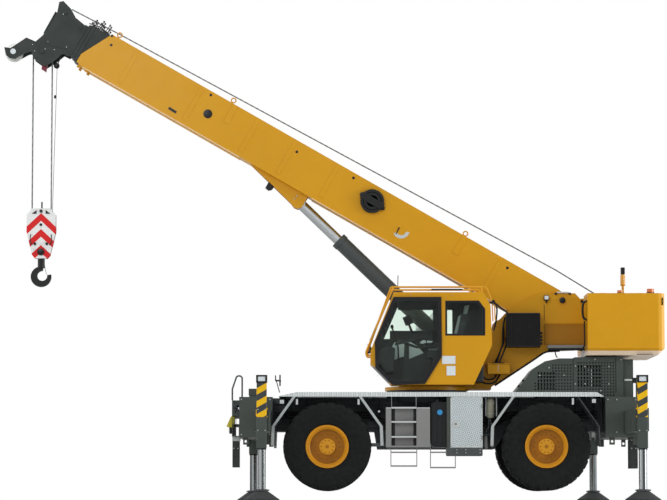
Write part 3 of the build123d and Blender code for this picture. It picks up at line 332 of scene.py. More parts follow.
def enamel(name, colour, low=0.34, high=0.46, spread=0.035, coat=0.25, grime=0.0):
    """Two-pack enamel sprayed on steel: faint orange peel, soft gloss, slight changes of shade and, where
    grime is above 0, dust that gathers in blotches toward the ground."""
    tree, shader, place = start(name)
    dye = varied(tree, place, colour, spread, 620)
    if grime:
        height = axes(tree, place)[2]
        blotch = add(tree, "ShaderNodeTexNoise", Vector=place, Scale=per_mm(90), Detail=6.0, Roughness=0.7)
        low_down = add(tree, "ShaderNodeMapRange", Value=height, i1=2.2, i2=0.3, i3=0.0, i4=grime)
        dusty = add(tree, "ShaderNodeMath", {"operation": "MULTIPLY", "use_clamp": True}, i0=blotch,
                    i1=low_down)
        dye = swap(tree, dusty, dye, "#8A857A")
    tree.links.new(dye, shader.inputs["Base Color"])
    rough_spread(tree, shader, place, low, high, 240)
    # orange peel is a few millimetres across, drawn at 14 mm so that it shows from the camera's distance
    peel = add(tree, "ShaderNodeTexNoise", Vector=place, Scale=per_mm(14), Detail=2.0)
    raised(tree, shader, peel, 0.25, 0.35)
    shader.inputs["Specular IOR Level"].default_value = 0.22
    shader.inputs["Coat Weight"].default_value = coat * 0.3
    shader.inputs["Coat Roughness"].default_value = 0.12
    return tree, shader, place


def plastic(name, colour, rough=0.5, grain_mm=4.0, depth_mm=0.3, spread=0.05):
    """Moulded ABS: an even colour with a fine leather-like mould grain."""
    tree, shader, place = start(name)
    tree.links.new(varied(tree, place, colour, spread, 150), shader.inputs["Base Color"])
    rough_spread(tree, shader, place, rough - 0.06, rough + 0.06, 60)
    grain = add(tree, "ShaderNodeTexVoronoi", Vector=place, Scale=per_mm(grain_mm))
    raised(tree, shader, grain, depth_mm, 0.4)
    shader.inputs["Specular IOR Level"].default_value = 0.25
    return tree, shader, place


def lens(name, colour, rough=0.12):
    """Moulded polycarbonate lens: clear gloss over a fluted inner face, with pale bands painted into its colour
    as painted highlights of the flutes. Real flutes are a few millimetres wide, drawn at 47 mm so that they
    show."""
    tree, shader, place = start(name)
    flutes = add(tree, "ShaderNodeTexWave", {"bands_direction": "Z"}, Vector=place, Scale=per_mm(47.35) / BANDS)
    # the pale bands painted over the colour are painted highlights of the flutes
    flute_highlight = add(tree, "ShaderNodeMath", {"operation": "MULTIPLY"}, i0=flutes, i1=0.12)
    tree.links.new(swap(tree, flute_highlight, colour, "#FFF4E4"), shader.inputs["Base Color"])
    shader.inputs["Roughness"].default_value = rough
    shader.inputs["Coat Weight"].default_value = 0.3
    raised(tree, shader, flutes, 0.6, 0.4)
    return tree, shader, place


def bare_metal(name, colour, rough=0.28, streak_mm=3.0, stretch=(1, 1, 40), metallic=1.0):
    """Ground and polished steel: fine streaks along the direction of grinding that smear the highlights."""
    tree, shader, place = start(name)
    turned_place = add(tree, "ShaderNodeMapping", Vector=place, Scale=tuple(1 / s for s in stretch))
    streak = add(tree, "ShaderNodeTexNoise", Vector=turned_place, Scale=per_mm(streak_mm), Detail=5.0)
    tree.links.new(varied(tree, place, colour, 0.04, 200), shader.inputs["Base Color"])
    rough = add(tree, "ShaderNodeMapRange", Value=streak, i1=0.3, i2=0.7, i3=rough * 0.7, i4=rough * 1.4)
    tree.links.new(rough, shader.inputs["Roughness"])
    shader.inputs["Metallic"].default_value = metallic
    raised(tree, shader, streak, 0.05, 0.3)
    return tree, shader, place


def chequer(name, colour, pitch_mm=58.0, metallic=0.35, floor=True):
    """Rolled aluminium chequer plate: short raised lozenges in two crossing directions, worn bright on top.
    Real plate has a pitch near 30 mm, drawn at twice that so that it shows."""
    tree, shader, place = start(name)
    lean = (0, 0, np.radians(45)) if floor else (0, np.radians(45), 0)
    tilted = add(tree, "ShaderNodeMapping", Vector=place, Rotation=lean, Scale=(per_mm(pitch_mm),) * 3)
    x, y, z = axes(tree, tilted)
    second = y if floor else z
    lugs = []
    for pair in ((x, second), (second, x)):
        waves = []
        for value, turns in zip(pair, (2 * np.pi, 4 * np.pi)):
            angle = add(tree, "ShaderNodeMath", {"operation": "MULTIPLY"}, i0=value, i1=turns)
            waves.append(add(tree, "ShaderNodeMath", {"operation": "SINE"}, i0=angle))
        lugs.append(both(tree, *waves))
    high = add(tree, "ShaderNodeMath", {"operation": "MAXIMUM"}, i0=lugs[0], i1=lugs[1])
    lug = add(tree, "ShaderNodeMapRange", {"interpolation_type": "SMOOTHSTEP"}, Value=high, i1=0.25, i2=0.6)
    plain = varied(tree, place, colour, 0.04, 300)
    bright = add(tree, "ShaderNodeMix", {"data_type": "RGBA", "blend_type": "SOFT_LIGHT"}, out=2, i0=0.6,
                 i6=plain, i7=lug)
    tree.links.new(bright, shader.inputs["Base Color"])
    shader.inputs["Metallic"].default_value = metallic
    rough_spread(tree, shader, place, 0.38, 0.55, 120)
    raised(tree, shader, lug, 2.0, 0.6)


HOOD_FIELDS = [  # rear X, front X from the slewing axis, low Z, high Z, pitch in metres
    (-2.450, -1.800, 1.760, 2.020, 0.050),
    (-2.450, -1.900, 2.020, 2.170, 0.050),
    (-2.450, -2.100, 2.170, 2.320, 0.050),
    (-3.180, -2.530, 1.760, 2.360, 0.050),
]


def wire_rope():
    """Stranded wire rope: its strands, laid in a helix, show as slanted dark grooves. Real grooves are about
    24 mm apart on a rope this thick, drawn about four times as far apart so that they show."""
    tree, shader, place = bare_metal("wire_rope", "#767879", 0.42, 3.0, (1, 1, 1), 0.6)
    lay = add(tree, "ShaderNodeTexWave", {"bands_direction": "DIAGONAL"}, Vector=place,
              Scale=per_mm(71.03) / BANDS, Distortion=0.4)
    # the grooves between the strands are painted darker than the strands: painted shade
    dye = swap(tree, lay, "#515456", "#7A7D7E")
    tree.links.new(dye, shader.inputs["Base Color"])
    raised(tree, shader, lay, 2.0, 0.8)


def tyre_rubber(colour):
    """Earthmover tyre: moulded natural rubber, greyed by dust and finely scuffed."""
    tree, shader, place = start("tyre_rubber")
    dust = add(tree, "ShaderNodeTexNoise", Vector=place, Scale=per_mm(160), Detail=8.0, Roughness=0.7)
    dusty = add(tree, "ShaderNodeMapRange", Value=dust, i1=0.45, i2=0.8, i3=0.0, i4=0.16)
    dye = swap(tree, dusty, varied(tree, place, colour, 0.12, 90), "#2C2D2B")
    tree.links.new(dye, shader.inputs["Base Color"])
    rough_spread(tree, shader, place, 0.72, 0.9, 70)
    shader.inputs["Specular IOR Level"].default_value = 0.2
    scuff = add(tree, "ShaderNodeTexNoise", Vector=place, Scale=per_mm(9), Detail=5.0)
    raised(tree, shader, scuff, 1.2, 0.5)


def belt_rubber():
    """Belting of the hanging steps: calendered rubber over cord, with broad raised ribs."""
    tree, shader, place = start("belt_rubber")
    ribs = add(tree, "ShaderNodeTexWave", {"bands_direction": "Z"}, Vector=place, Scale=per_mm(118.38) / BANDS)
    tree.links.new(varied(tree, place, "#1E2021", 0.15, 60), shader.inputs["Base Color"])
    rough_spread(tree, shader, place, 0.6, 0.8, 50)
    raised(tree, shader, ribs, 1.5, 0.6)


def cab_glass():
    """Toughened float glass, faintly green and slightly dusty."""
    tree, shader, place = start("cab_glass")
    haze = add(tree, "ShaderNodeTexNoise", Vector=place, Scale=per_mm(220), Detail=5.0)
    rough = add(tree, "ShaderNodeMapRange", Value=haze, i1=0.35, i2=0.75, i3=0.01, i4=0.06)
    tree.links.new(rough, shader.inputs["Roughness"])
    tint = swap(tree, haze, "#F2FAF4", "#E6F2EA")
    tree.links.new(tint, shader.inputs["Base Color"])
    shader.inputs["Transmission Weight"].default_value = 1.0
    shader.inputs["IOR"].default_value = 1.2


def rim_enamel_and_dish_shade(rim):
    """Enamel of the wheel rims: the outer ring in the light shade, the hub a little redder and the sunk dish
    between them painted browner and darker, as painted shade of the deep dish."""
    for axle in ("front", "rear"):
        middle = JOINTS[f"spin_{axle}_left"]["pos_m"]
        tree, shader, place = enamel(f"rim_enamel_{axle}", rim, 0.36, 0.48, 0.04, 0.25)
        from_axle = add(tree, "ShaderNodeMapping", Vector=place, Location=(-middle[0], 0, -middle[2]),
                        Scale=(1, 0, 1))
        radius = add(tree, "ShaderNodeVectorMath", {"operation": "LENGTH"}, out=1, i0=from_axle)
        hub_radius, dish_radius = 0.138, 0.292
        dish = within(tree, radius, hub_radius, dish_radius)
        # the dish's two browns, mottled by noise, are painted shade of the deep dish
        grime = add(tree, "ShaderNodeTexNoise", Vector=place, Scale=per_mm(120), Detail=6.0)
        dish_painted_shade = swap(tree, grime, "#A5690A", "#BC7E10")
        hub = add(tree, "ShaderNodeMath", {"operation": "LESS_THAN"}, i0=radius, i1=hub_radius)
        light = swap(tree, hub, varied(tree, place, rim, 0.05, 150), "#DE9C22")
        tree.links.new(swap(tree, dish, light, dish_painted_shade), shader.inputs["Base Color"])


def beam_enamel(carrier, stripe):
    """Enamel of the outrigger beams, with slanting stripes on the jacks' tubes."""
    tree, shader, place = enamel("beam_enamel", carrier, 0.42, 0.56, 0.06, 0.12, grime=0.12)
    x, y, z = axes(tree, place)
    wide = add(tree, "ShaderNodeMath", {"operation": "ABSOLUTE"}, i0=y)
    top = low_high("beam_front_left")[1][2]
    tube_face, half_tube, cap, foot = 2.965, 0.096, 0.12, 0.683
    outer = add(tree, "ShaderNodeMath", {"operation": "GREATER_THAN"}, i0=wide, i1=tube_face)
    middles = [sum(low_high(f"jack_{axle}_left"))[0] / 2 for axle in ("front", "rear")]
    tubes = [within(tree, x, middle - half_tube, middle + half_tube) for middle in middles]
    on_tube = add(tree, "ShaderNodeMath", {"operation": "ADD"}, i0=tubes[0], i1=tubes[1])
    zone = both(tree, outer, on_tube, within(tree, z, top - foot, top - cap))
    fall, pitch = 0.56, 0.21
    slant = add(tree, "ShaderNodeMath", {"operation": "ADD"}, i0=x, i1=wide)
    slant = add(tree, "ShaderNodeMath", {"operation": "MULTIPLY_ADD"}, i0=slant, i1=fall, i2=z)
    slant = add(tree, "ShaderNodeMath", {"operation": "DIVIDE"}, i0=slant, i1=pitch)
    phase = add(tree, "ShaderNodeMath", {"operation": "FRACT"},
                i0=add(tree, "ShaderNodeMath", {"operation": "ADD"}, i0=slant, i1=0.5))
    band = within(tree, phase, 0.18, 0.68)
    plain = varied(tree, place, carrier, 0.06, 300)
    striped = swap(tree, band, "#3A3F40", varied(tree, place, stripe, 0.03, 200))
    tree.links.new(swap(tree, zone, plain, striped), shader.inputs["Base Color"])


def jack_steel():
    """Jacks: hard chrome with painted dark vertical reflections on the rod, dark enamel on the float."""
    tree, shader, place = bare_metal("jack_steel", "#85898A", 0.24, 5.0, (1, 1, 60))
    float_top = 0.151
    z = axes(tree, place)[2]
    float_mask = add(tree, "ShaderNodeMath", {"operation": "LESS_THAN"}, i0=z, i1=float_top)
    # dark and pale vertical bands in the rod's colour are painted reflections
    streak = add(tree, "ShaderNodeTexWave", {"bands_direction": "X"}, Vector=place, Scale=per_mm(90.76) / BANDS)
    steel = swap(tree, streak, "#3E4243", "#A9ADAE")
    tree.links.new(swap(tree, float_mask, steel, "#232627"), shader.inputs["Base Color"])
    tree.links.new(add(tree, "ShaderNodeMath", {"operation": "SUBTRACT"}, i0=1.0, i1=float_mask),
                   shader.inputs["Metallic"])
    tree.links.new(add(tree, "ShaderNodeMapRange", Value=float_mask, i3=0.24, i4=0.75),
                   shader.inputs["Roughness"])


def sheave_iron():
    """Sheaves: cast iron on the boom head, pale cast polyamide on the nose."""
    tree, shader, place = bare_metal("sheave_iron", "#35383A", 0.5, 8.0, (1, 1, 1), 0.4)
    from_nose = add(tree, "ShaderNodeVectorMath", {"operation": "DISTANCE"}, out=1, i0=place,
                    i1=tuple(boom_point(*NOSE_AXLE)))
    reach = 0.30
    pale = add(tree, "ShaderNodeMath", {"operation": "LESS_THAN"}, i0=from_nose, i1=reach)
    tree.links.new(swap(tree, pale, "#35383A", "#E4E8E3"), shader.inputs["Base Color"])


def block_enamel():
    """Hook block: white enamel with red chevrons, points up."""
    tree, shader, place = enamel("block_enamel", "#EEF0EF", 0.3, 0.4, 0.03, 0.3)
    x, _, z = axes(tree, place)
    slope, first, pitch, share = 0.94, 0.083, 0.277, 0.49
    off_middle = add(tree, "ShaderNodeMath", {"operation": "SUBTRACT"}, i0=x, i1=HEAD_AXLE[0])
    aside = add(tree, "ShaderNodeMath", {"operation": "ABSOLUTE"}, i0=off_middle)
    level = add(tree, "ShaderNodeMath", {"operation": "MULTIPLY_ADD"}, i0=aside, i1=slope, i2=z)
    block_top = low_high("hook_block")[1][2]
    fall = add(tree, "ShaderNodeMath", {"operation": "SUBTRACT"}, i0=block_top - first, i1=level)
    turn = add(tree, "ShaderNodeMath", {"operation": "DIVIDE"}, i0=fall, i1=pitch)
    phase = add(tree, "ShaderNodeMath", {"operation": "FRACT"}, i0=turn)
    below = add(tree, "ShaderNodeMath", {"operation": "GREATER_THAN"}, i0=fall, i1=0.0)
    red = both(tree, within(tree, phase, 0.0, share), below)
    tree.links.new(swap(tree, red, varied(tree, place, "#EEF0EF", 0.03, 150), "#DA1216"),
                   shader.inputs["Base Color"])


def beacon_lens():
    """Beacons: amber acrylic, the one on the pole yellower."""
    tree, shader, place = lens("beacon_lens", "#D96C10")
    pole_x, half_width = -3.340, 0.058
    off_pole = add(tree, "ShaderNodeMath", {"operation": "SUBTRACT"}, i0=axes(tree, place)[0],
                   i1=SLEW_X + pole_x)
    off_pole = add(tree, "ShaderNodeMath", {"operation": "ABSOLUTE"}, i0=off_pole)
    on_pole = add(tree, "ShaderNodeMath", {"operation": "LESS_THAN"}, i0=off_pole, i1=half_width)
    tree.links.new(swap(tree, on_pole, "#D96C10", "#D79A14"), shader.inputs["Base Color"])


def weight_enamel(body):
    """Counterweight: the body enamel, with painted highlights on the chamfers at its foot and its tail."""
    tree, shader, place = enamel("weight_enamel", body, spread=0.03)
    x, _, z = axes(tree, place)
    low = low_high("counterweight")[0]
    # the pale foot and tail chamfers are painted highlights
    foot = add(tree, "ShaderNodeMath", {"operation": "LESS_THAN"}, i0=z, i1=low[2] + 0.068)
    tail = add(tree, "ShaderNodeMath", {"operation": "LESS_THAN"}, i0=x, i1=low[0] + 0.052)
    plain = varied(tree, place, body, 0.03, 620)
    chamfer_highlight = swap(tree, foot, swap(tree, tail, plain, "#F2BE62"), "#F0D9BE")
    tree.links.new(chamfer_highlight, shader.inputs["Base Color"])


def cab_enamel(body):
    """Cab: enamel outside, dark trim on every face inside the walls."""
    tree, shader, place = enamel("cab_enamel", body, spread=0.03)
    x, y, z = axes(tree, place)
    wall, lean, screen = 0.046, 0.397, 1.933
    low, high = low_high("cab_left_wall")
    low[1] = low_high("cab_right_wall")[0][1]
    # the windscreen's inner face is where x + lean * z is the screen's place ahead of the slewing axis
    slope = add(tree, "ShaderNodeMath", {"operation": "MULTIPLY_ADD"}, i0=z, i1=lean, i2=x)
    behind = add(tree, "ShaderNodeMath", {"operation": "LESS_THAN"}, i0=slope, i1=SLEW_X + screen)
    walls = [within(tree, value, low[n] + wall, high[n] - wall) for n, value in ((1, y), (2, z), (0, x))]
    inside = both(tree, *walls, behind)
    trim = varied(tree, place, "#2A2F30", 0.05, 150)
    tree.links.new(swap(tree, inside, varied(tree, place, body, 0.03, 620), trim),
                   shader.inputs["Base Color"])


def hood_enamel(carrier):
    """Hood: folded sheet steel with square perforations punched in fields."""
    tree, shader, place = enamel("hood_enamel", carrier, 0.42, 0.56, 0.05, 0.12)
    x, y, z = axes(tree, place)
    wide = add(tree, "ShaderNodeMath", {"operation": "ABSOLUTE"}, i0=y)
    side = add(tree, "ShaderNodeMath", {"operation": "GREATER_THAN"}, i0=wide, i1=HOOD_SIDE - 0.004)
    fields = []
    for x0, x1, z0, z1, pitch in HOOD_FIELDS:
        spot = []
        for value, first in ((x, x0 + SLEW_X), (z, z0)):
            moved = add(tree, "ShaderNodeMath", {"operation": "SUBTRACT"}, i0=value, i1=first)
            cells = add(tree, "ShaderNodeMath", {"operation": "DIVIDE"}, i0=moved, i1=pitch)
            part = add(tree, "ShaderNodeMath", {"operation": "FRACT"}, i0=cells)
            spot.append(within(tree, part, 0.22, 0.78))
        fields.append(both(tree, *spot, within(tree, x, x0 + SLEW_X, x1 + SLEW_X), within(tree, z, z0, z1)))
    holes = fields[0]
    for field in fields[1:]:
        holes = add(tree, "ShaderNodeMath", {"operation": "MAXIMUM"}, i0=holes, i1=field)
    holes = both(tree, holes, side)
    tree.links.new(swap(tree, holes, varied(tree, place, carrier, 0.05, 300), "#0C0E0E"),
                   shader.inputs["Base Color"])


def fender_enamel():
    """Fenders: black enamel, painted as a lighter grey for painted fill light in their shade, with the outer
    lip, ahead of the rear axle, in a pale paint.
    """
    tree, shader, place = enamel("fender_enamel", "#23282A", 0.45, 0.6, 0.1, 0.08)
    x, y, _ = axes(tree, place)
    wide = add(tree, "ShaderNodeMath", {"operation": "ABSOLUTE"}, i0=y)
    edge = add(tree, "ShaderNodeMath", {"operation": "GREATER_THAN"}, i0=wide, i1=DECK_EDGE)
    rear_axle = JOINTS["spin_rear_left"]["pos_m"][0]
    ahead = add(tree, "ShaderNodeMath", {"operation": "GREATER_THAN"}, i0=x, i1=rear_axle)
    lip = both(tree, edge, ahead)
    # the black fender is painted as a lighter grey: painted fill light in its shade
    tree.links.new(swap(tree, lip, varied(tree, place, "#5C6364", 0.1, 200), "#B4BBBA"),
                   shader.inputs["Base Color"])


PLAIN_ENAMELS = (  # name, colour, lowest and highest roughness, change of shade, coat
    # a darker copy of the body enamel, for painted shade
    ("shade_enamel", "#A97418", 0.5, 0.6, 0.035, 0.05),
    ("head_enamel", "#262D2B", 0.42, 0.56, 0.07, 0.12),
    ("gloss_black", "#101113", 0.3, 0.42, 0.08, 0.3),
    ("pale_paint", "#C9CFCE", 0.42, 0.54, 0.04, 0.1),
    ("step_grey", "#8B8C8B", 0.45, 0.6, 0.05, 0.05),
    ("sign_white", "#DDE6EA", 0.35, 0.45, 0.05, 0.2),
    ("tan_enamel", "#92917F", 0.4, 0.5, 0.05, 0.2),
    ("rail_enamel", "#DFA22C", 0.5, 0.6, 0.03, 0.0),
    ("beacon_blue", "#3C96D2", 0.3, 0.4, 0.05, 0.3),
    ("pale_yellow", "#C2B63A", 0.45, 0.55, 0.08, 0.1),
    ("wine_red", "#7A1F38", 0.4, 0.5, 0.08, 0.2),
    ("tank_black", "#1A1C1E", 0.4, 0.5, 0.08, 0.2),
    # pale peach for the lips along the boom's lower edges: a painted highlight
    ("edge_enamel", "#F4CF96", 0.34, 0.46, 0.03, 0.2),
    ("cooler_black", "#0B0C0D", 0.6, 0.7, 0.08, 0.0),
    ("rim_orange_bolts", "#A86C12", 0.4, 0.5, 0.05, 0.2),
    ("cylinder_enamel", "#474C4C", 0.34, 0.46, 0.05, 0.2),
)


def make_finishes(colours):
    """All the crane's finishes, from the panel's colours."""
    body, carrier, rim, stripe, tyre = (
        "#%02X%02X%02X" % tuple(int(round(part * 255)) for part in getattr(colours, key + "_colour"))
        for key in ("body", "carrier", "rim", "stripe", "tyre"))

    # two-pack enamels by their colour, lowest and highest roughness, change of shade and coat
    for name, colour, low, high, spread, coat in (
            ("boom_enamel", body, 0.34, 0.46, 0.03, 0.25), ("body_enamel", body, 0.34, 0.46, 0.03, 0.25),
            *PLAIN_ENAMELS):
        enamel(name, colour, low, high, spread, coat)
    enamel("carrier_enamel", carrier, 0.42, 0.56, 0.06, 0.12, grime=0.16)
    # the frame's black is painted as a lighter grey: painted fill light in its shade
    enamel("frame_black", "#464D50", 0.5, 0.66, 0.12, 0.05, grime=0.2)

    # rolled aluminium: the deck's plate and the tool box's door, whose lozenges stand upright
    chequer("deck_plate", "#C7CECE")
    chequer("tool_plate", "#C0C9CC", 70.0, 0.25, floor=False)

    # moulded ABS, vinyl and the hoses' nitrile cover, by roughness, grain in millimetres and its depth
    plastic("black_plastic", "#111216", 0.5)
    plastic("cab_trim", "#24282A", 0.55, 5.0)
    plastic("seat_vinyl", "#8B9494", 0.45, 7.0, 0.6)
    plastic("oil_hose", "#1C1D1F", 0.5, 12.0, 0.5)

    # polycarbonate lenses
    lens("amber_lens", "#D96C10")
    lens("clear_lens", "#DDE3E6")
    lens("red_lens", "#A01818")

    # chromed rod, ground steel, zinc and cast iron, by roughness, streak in millimetres and its stretch
    bare_metal("polished_rod", "#B4B8BA", 0.24, 4.0, (1, 1, 60))
    bare_metal("ground_steel", "#8E9294", 0.3, 6.0, (1, 1, 8))
    bare_metal("zinc_bolt", "#A9AEAE", 0.4, 2.0, (1, 1, 1), 0.5)
    bare_metal("cast_iron", "#4A4C4E", 0.55, 8.0, (1, 1, 1), 0.6)

    wire_rope()
    tyre_rubber(tyre)
    belt_rubber()
    cab_glass()
    rim_enamel_and_dish_shade(rim)
    beam_enamel(carrier, stripe)
    jack_steel()
    sheave_iron()
    block_enamel()
    beacon_lens()
    weight_enamel(body)
    cab_enamel(body)
    hood_enamel(carrier)
    fender_enamel()


FINISH_OF = {
    "chassis_frame": "frame_black", "outrigger_boxes": "carrier_enamel", "carrier_deck": "deck_plate",
    "fenders": "fender_enamel", "engine_hood": "hood_enamel", "engine_block": "cast_iron",
    "front_bumper": "carrier_enamel", "hanging_steps": "belt_rubber", "side_ladder": "step_grey",
    "toolbox": "tool_plate", "side_tanks": "tank_black", "lamps": "black_plastic", "axles": "frame_black",
    "turret": "body_enamel", "counterweight": "weight_enamel", "main_winch": "cast_iron",
    "aux_winch": "cast_iron", "cooler_box": "cooler_black", "beacons": "beacon_lens",
    "cab_floor": "cab_enamel", "cab_roof": "cab_enamel", "cab_rear_wall": "cab_enamel",
    "cab_left_wall": "cab_enamel", "cab_right_wall": "cab_enamel", "cab_glass": "cab_glass",
    "cab_door": "black_plastic", "door_glass": "cab_glass", "cab_interior": "cab_trim",
    "guard_rail": "rail_enamel", "boom_base": "boom_enamel", "boom_section_2": "head_enamel",
    "boom_section_3": "head_enamel", "boom_tip": "head_enamel", "boom_sheaves": "sheave_iron",
    "cable_reel": "gloss_black", "lift_rod": "polished_rod", "lift_barrel": "cylinder_enamel",
    "hoist_falls": "wire_rope", "hook_block": "block_enamel", "hook": "gloss_black",
}


def finish_nodes():
    """Gives every carried-over CAD node its finish."""
    finish_of = dict(FINISH_OF)
    for corner in CORNERS:
        finish_of[f"knuckle_{corner}"] = "frame_black"
        finish_of[f"tyre_{corner}"] = "tyre_rubber"
        finish_of[f"rim_{corner}"] = "rim_enamel_" + corner.split("_")[0]
        finish_of[f"beam_{corner}"] = "beam_enamel"
        finish_of[f"jack_{corner}"] = "jack_steel"
    for node, finish in finish_of.items():
        mesh = NODES[node].data
        mesh.materials.clear()
        mesh.materials.append(MATERIALS[finish])


# ------------------------------------------------------------------ settings a user would change
class CraneColours(bpy.types.PropertyGroup):
    """Paint colours."""
    body_colour: FloatVectorProperty(name="Body", description="Boom, cab and counterweight enamel", size=3,
                                     subtype="COLOR_GAMMA", min=0, max=1, default=(0.835, 0.605, 0.060))
    carrier_colour: FloatVectorProperty(name="Carrier", description="Outriggers, hood and boom head enamel",
                                        size=3, subtype="COLOR_GAMMA", min=0, max=1,
                                        default=(0.267, 0.298, 0.282))
    rim_colour: FloatVectorProperty(name="Rims", description="Wheel rim enamel", size=3,
                                    subtype="COLOR_GAMMA", min=0, max=1, default=(0.835, 0.565, 0.080))
    stripe_colour: FloatVectorProperty(name="Stripes", description="Warning stripes on the jacks", size=3,
                                       subtype="COLOR_GAMMA", min=0, max=1, default=(0.945, 0.745, 0.060))
    tyre_colour: FloatVectorProperty(name="Tyres", description="Tyre rubber", size=3, subtype="COLOR_GAMMA",
                                     min=0, max=1, default=(0.078, 0.086, 0.086))


class CraneSizes(bpy.types.PropertyGroup):
    """Sizes of the fittings."""
    bolt: FloatProperty(name="Bolt head", description="Radius of a panel bolt's head", default=0.014,
                        unit="LENGTH")
    rope: FloatProperty(name="Rope", description="Radius of the hoist rope", default=0.011, unit="LENGTH")
    lugs: IntProperty(name="Tread lugs", description="Lugs round each tyre", default=26, min=8, max=60)
    lug_depth: FloatProperty(name="Lug depth", description="Depth of the tyre tread", default=0.028,
                             unit="LENGTH")
    view_distance: FloatProperty(name="View distance", description="From the crane's middle to the camera",
                                 default=52.5, unit="LENGTH")
    view_lens: FloatProperty(name="Lens", description="Focal length in millimetres", default=164.1)


# ------------------------------------------------------------------ operators
class CRANE_OT_finishes(bpy.types.Operator):
    """Makes the materials and paints every solid of the crane"""
    bl_idname = "crane.finishes"
    bl_label = "Finishes"

    def execute(self, context):
        make_finishes(context.scene.crane_colours)
        finish_nodes()
        return {"FINISHED"}


class CRANE_OT_stage(bpy.types.Operator):
    """Sets up the floor, the lights and the camera"""
    bl_idname = "crane.stage"
    bl_label = "Stage"

    def execute(self, context):
        scene = context.scene
        sizes = scene.crane_sizes
        world = bpy.data.worlds.new("studio")
        scene.world = world
        world.use_nodes = True
        tree = world.node_tree
        seen = add(tree, "ShaderNodeLightPath", out=None)
        direct = add(tree, "ShaderNodeMath", {"operation": "MAXIMUM"}, i0=seen.outputs["Is Camera Ray"],
                     i1=seen.outputs["Is Transmission Ray"])
        direct = add(tree, "ShaderNodeMath", {"operation": "MAXIMUM"}, i0=direct,
                     i1=seen.outputs["Is Glossy Ray"])
        strength = add(tree, "ShaderNodeMapRange", Value=direct, i3=0.34, i4=1.0)
        background = tree.nodes["Background"]
        background.inputs["Color"].default_value = (1, 1, 1, 1)
        tree.links.new(strength, background.inputs["Strength"])

        mesh = bpy.data.meshes.new("studio_floor")
        reach, level = 60.0, -0.002
        mesh.from_pydata([(x * reach, y * reach, level) for x, y in ((-1, -1), (1, -1), (1, 1), (-1, 1))], [],
                         [(0, 1, 2, 3)])
        floor = bpy.data.objects.new("studio_floor", mesh)
        scene.collection.objects.link(floor)
        made = bpy.data.materials.new("studio_paper")
        made.use_nodes = True
        paper = made.node_tree
        shade = paper.nodes["Principled BSDF"]
        shade.inputs["Base Color"].default_value = (0.93, 0.93, 0.93, 1)
        shade.inputs["Roughness"].default_value = 0.9
        mesh.materials.append(made)

        lamps = [  # name, place, aim, size, power
            ("key", (9.0, 26.0, 15.0), (0.0, 0.0, 3.5), 12.0, 1900.0),
            ("front_side", (26.0, 4.0, 7.0), (0.0, 0.0, 3.0), 10.0, 1100.0),
            ("rear_side", (-24.0, 8.0, 5.0), (0.0, 0.0, 3.0), 10.0, 2300.0),
            ("overhead", (0.0, 2.0, 24.0), (0.0, 0.0, 3.0), 14.0, 1500.0),
        ]
        for name, place, aim, size, power in lamps:
            data = bpy.data.lights.new(name, "AREA")
            data.size = size
            data.energy = power
            lamp = bpy.data.objects.new(name, data)
            lamp.location = place
            direction = np.array(aim) - np.array(place)
            lamp.rotation_euler = (np.arctan2(np.hypot(direction[0], direction[1]), -direction[2]), 0,
                                   np.arctan2(-direction[0], direction[1]))
            scene.collection.objects.link(lamp)

        data = bpy.data.cameras.new("camera")
        data.lens = sizes.view_lens
        data.sensor_width = 36.0
        data.clip_end = 500.0
        camera = bpy.data.objects.new("camera", data)
        aside, tilt = -0.053, 4.71
        camera.location = (aside, sizes.view_distance, 0.0)
        camera.rotation_euler = (np.radians(90.0 + tilt), 0.0, np.radians(180.0))
        scene.collection.objects.link(camera)
        scene.camera = camera
        scene.view_settings.view_transform = "Standard"
        return {"FINISHED"}


# ------------------------------------------------------------------ small fittings
def at(x, y, z):
    """A place measured from the slewing axis."""
    return np.array([x + SLEW_X, y, z])


def places(rows):
    """Several places measured from the slewing axis."""
    return np.array(rows, float) + [SLEW_X, 0, 0]


def block(x0, x1, y0, y1, z0, z1, edge=0.003, axis=1):
    """A bevelled box between two corners measured from the slewing axis."""
    return box(at(x0, y0, z0), at(x1, y1, z1), edge, axis)


def plate(outline, y0, y1, edge=0.002):
    """A flat plate of an (X, Z) outline measured from the slewing axis."""
    return prism(np.asarray(outline, float) + [SLEW_X, 0], y0, y1, edge)


def bolts(spots, radius, axis=1, side=1, height=0.014):
    """Hexagon heads at places, standing out along an axis."""
    profile = [(0, radius), (side * height * 0.75, radius), (side * height, radius * 0.8)]
    return repeat(turned(profile, (0, 0, 0), axis, 6), spots)


def ring(centre, radius, wire, axis=1, count=20):
    """A round wire bent to a full circle about an axis."""
    bow = circle(wire, 8)
    return turned(bow + [0, radius], centre, axis, count, wrap=True)


def hose(rows, radius=0.013, reach=0.08):
    """A bent tube through places measured from the slewing axis."""
    return tube(places(rows), radius, reach, up=(0.1, 1, 0.05), count=8)


# ------------------------------------------------------------------ wheels
def tyre_carcass(middle):
    """The tyre below its lugs, turned from half a section that is mirrored: bead, rim guard, bulged wall,
    shoulder and a tread base that is lower than the lugs."""
    half = [
        (0.000, 0.336), (0.198, 0.336), (0.200, 0.372), (0.222, 0.384), (0.231, 0.396), (0.229, 0.406),
        (0.238, 0.430), (0.250, 0.480), (0.257, 0.540), (0.258, 0.590), (0.254, 0.628), (0.256, 0.636),
        (0.251, 0.664), (0.240, 0.700), (0.212, 0.724), (0.120, 0.731), (0.000, 0.732),
    ]
    section = half + [(-y, r) for y, r in reversed(half[1:-1])]
    return turned(section, middle, 1, 96, wrap=True)


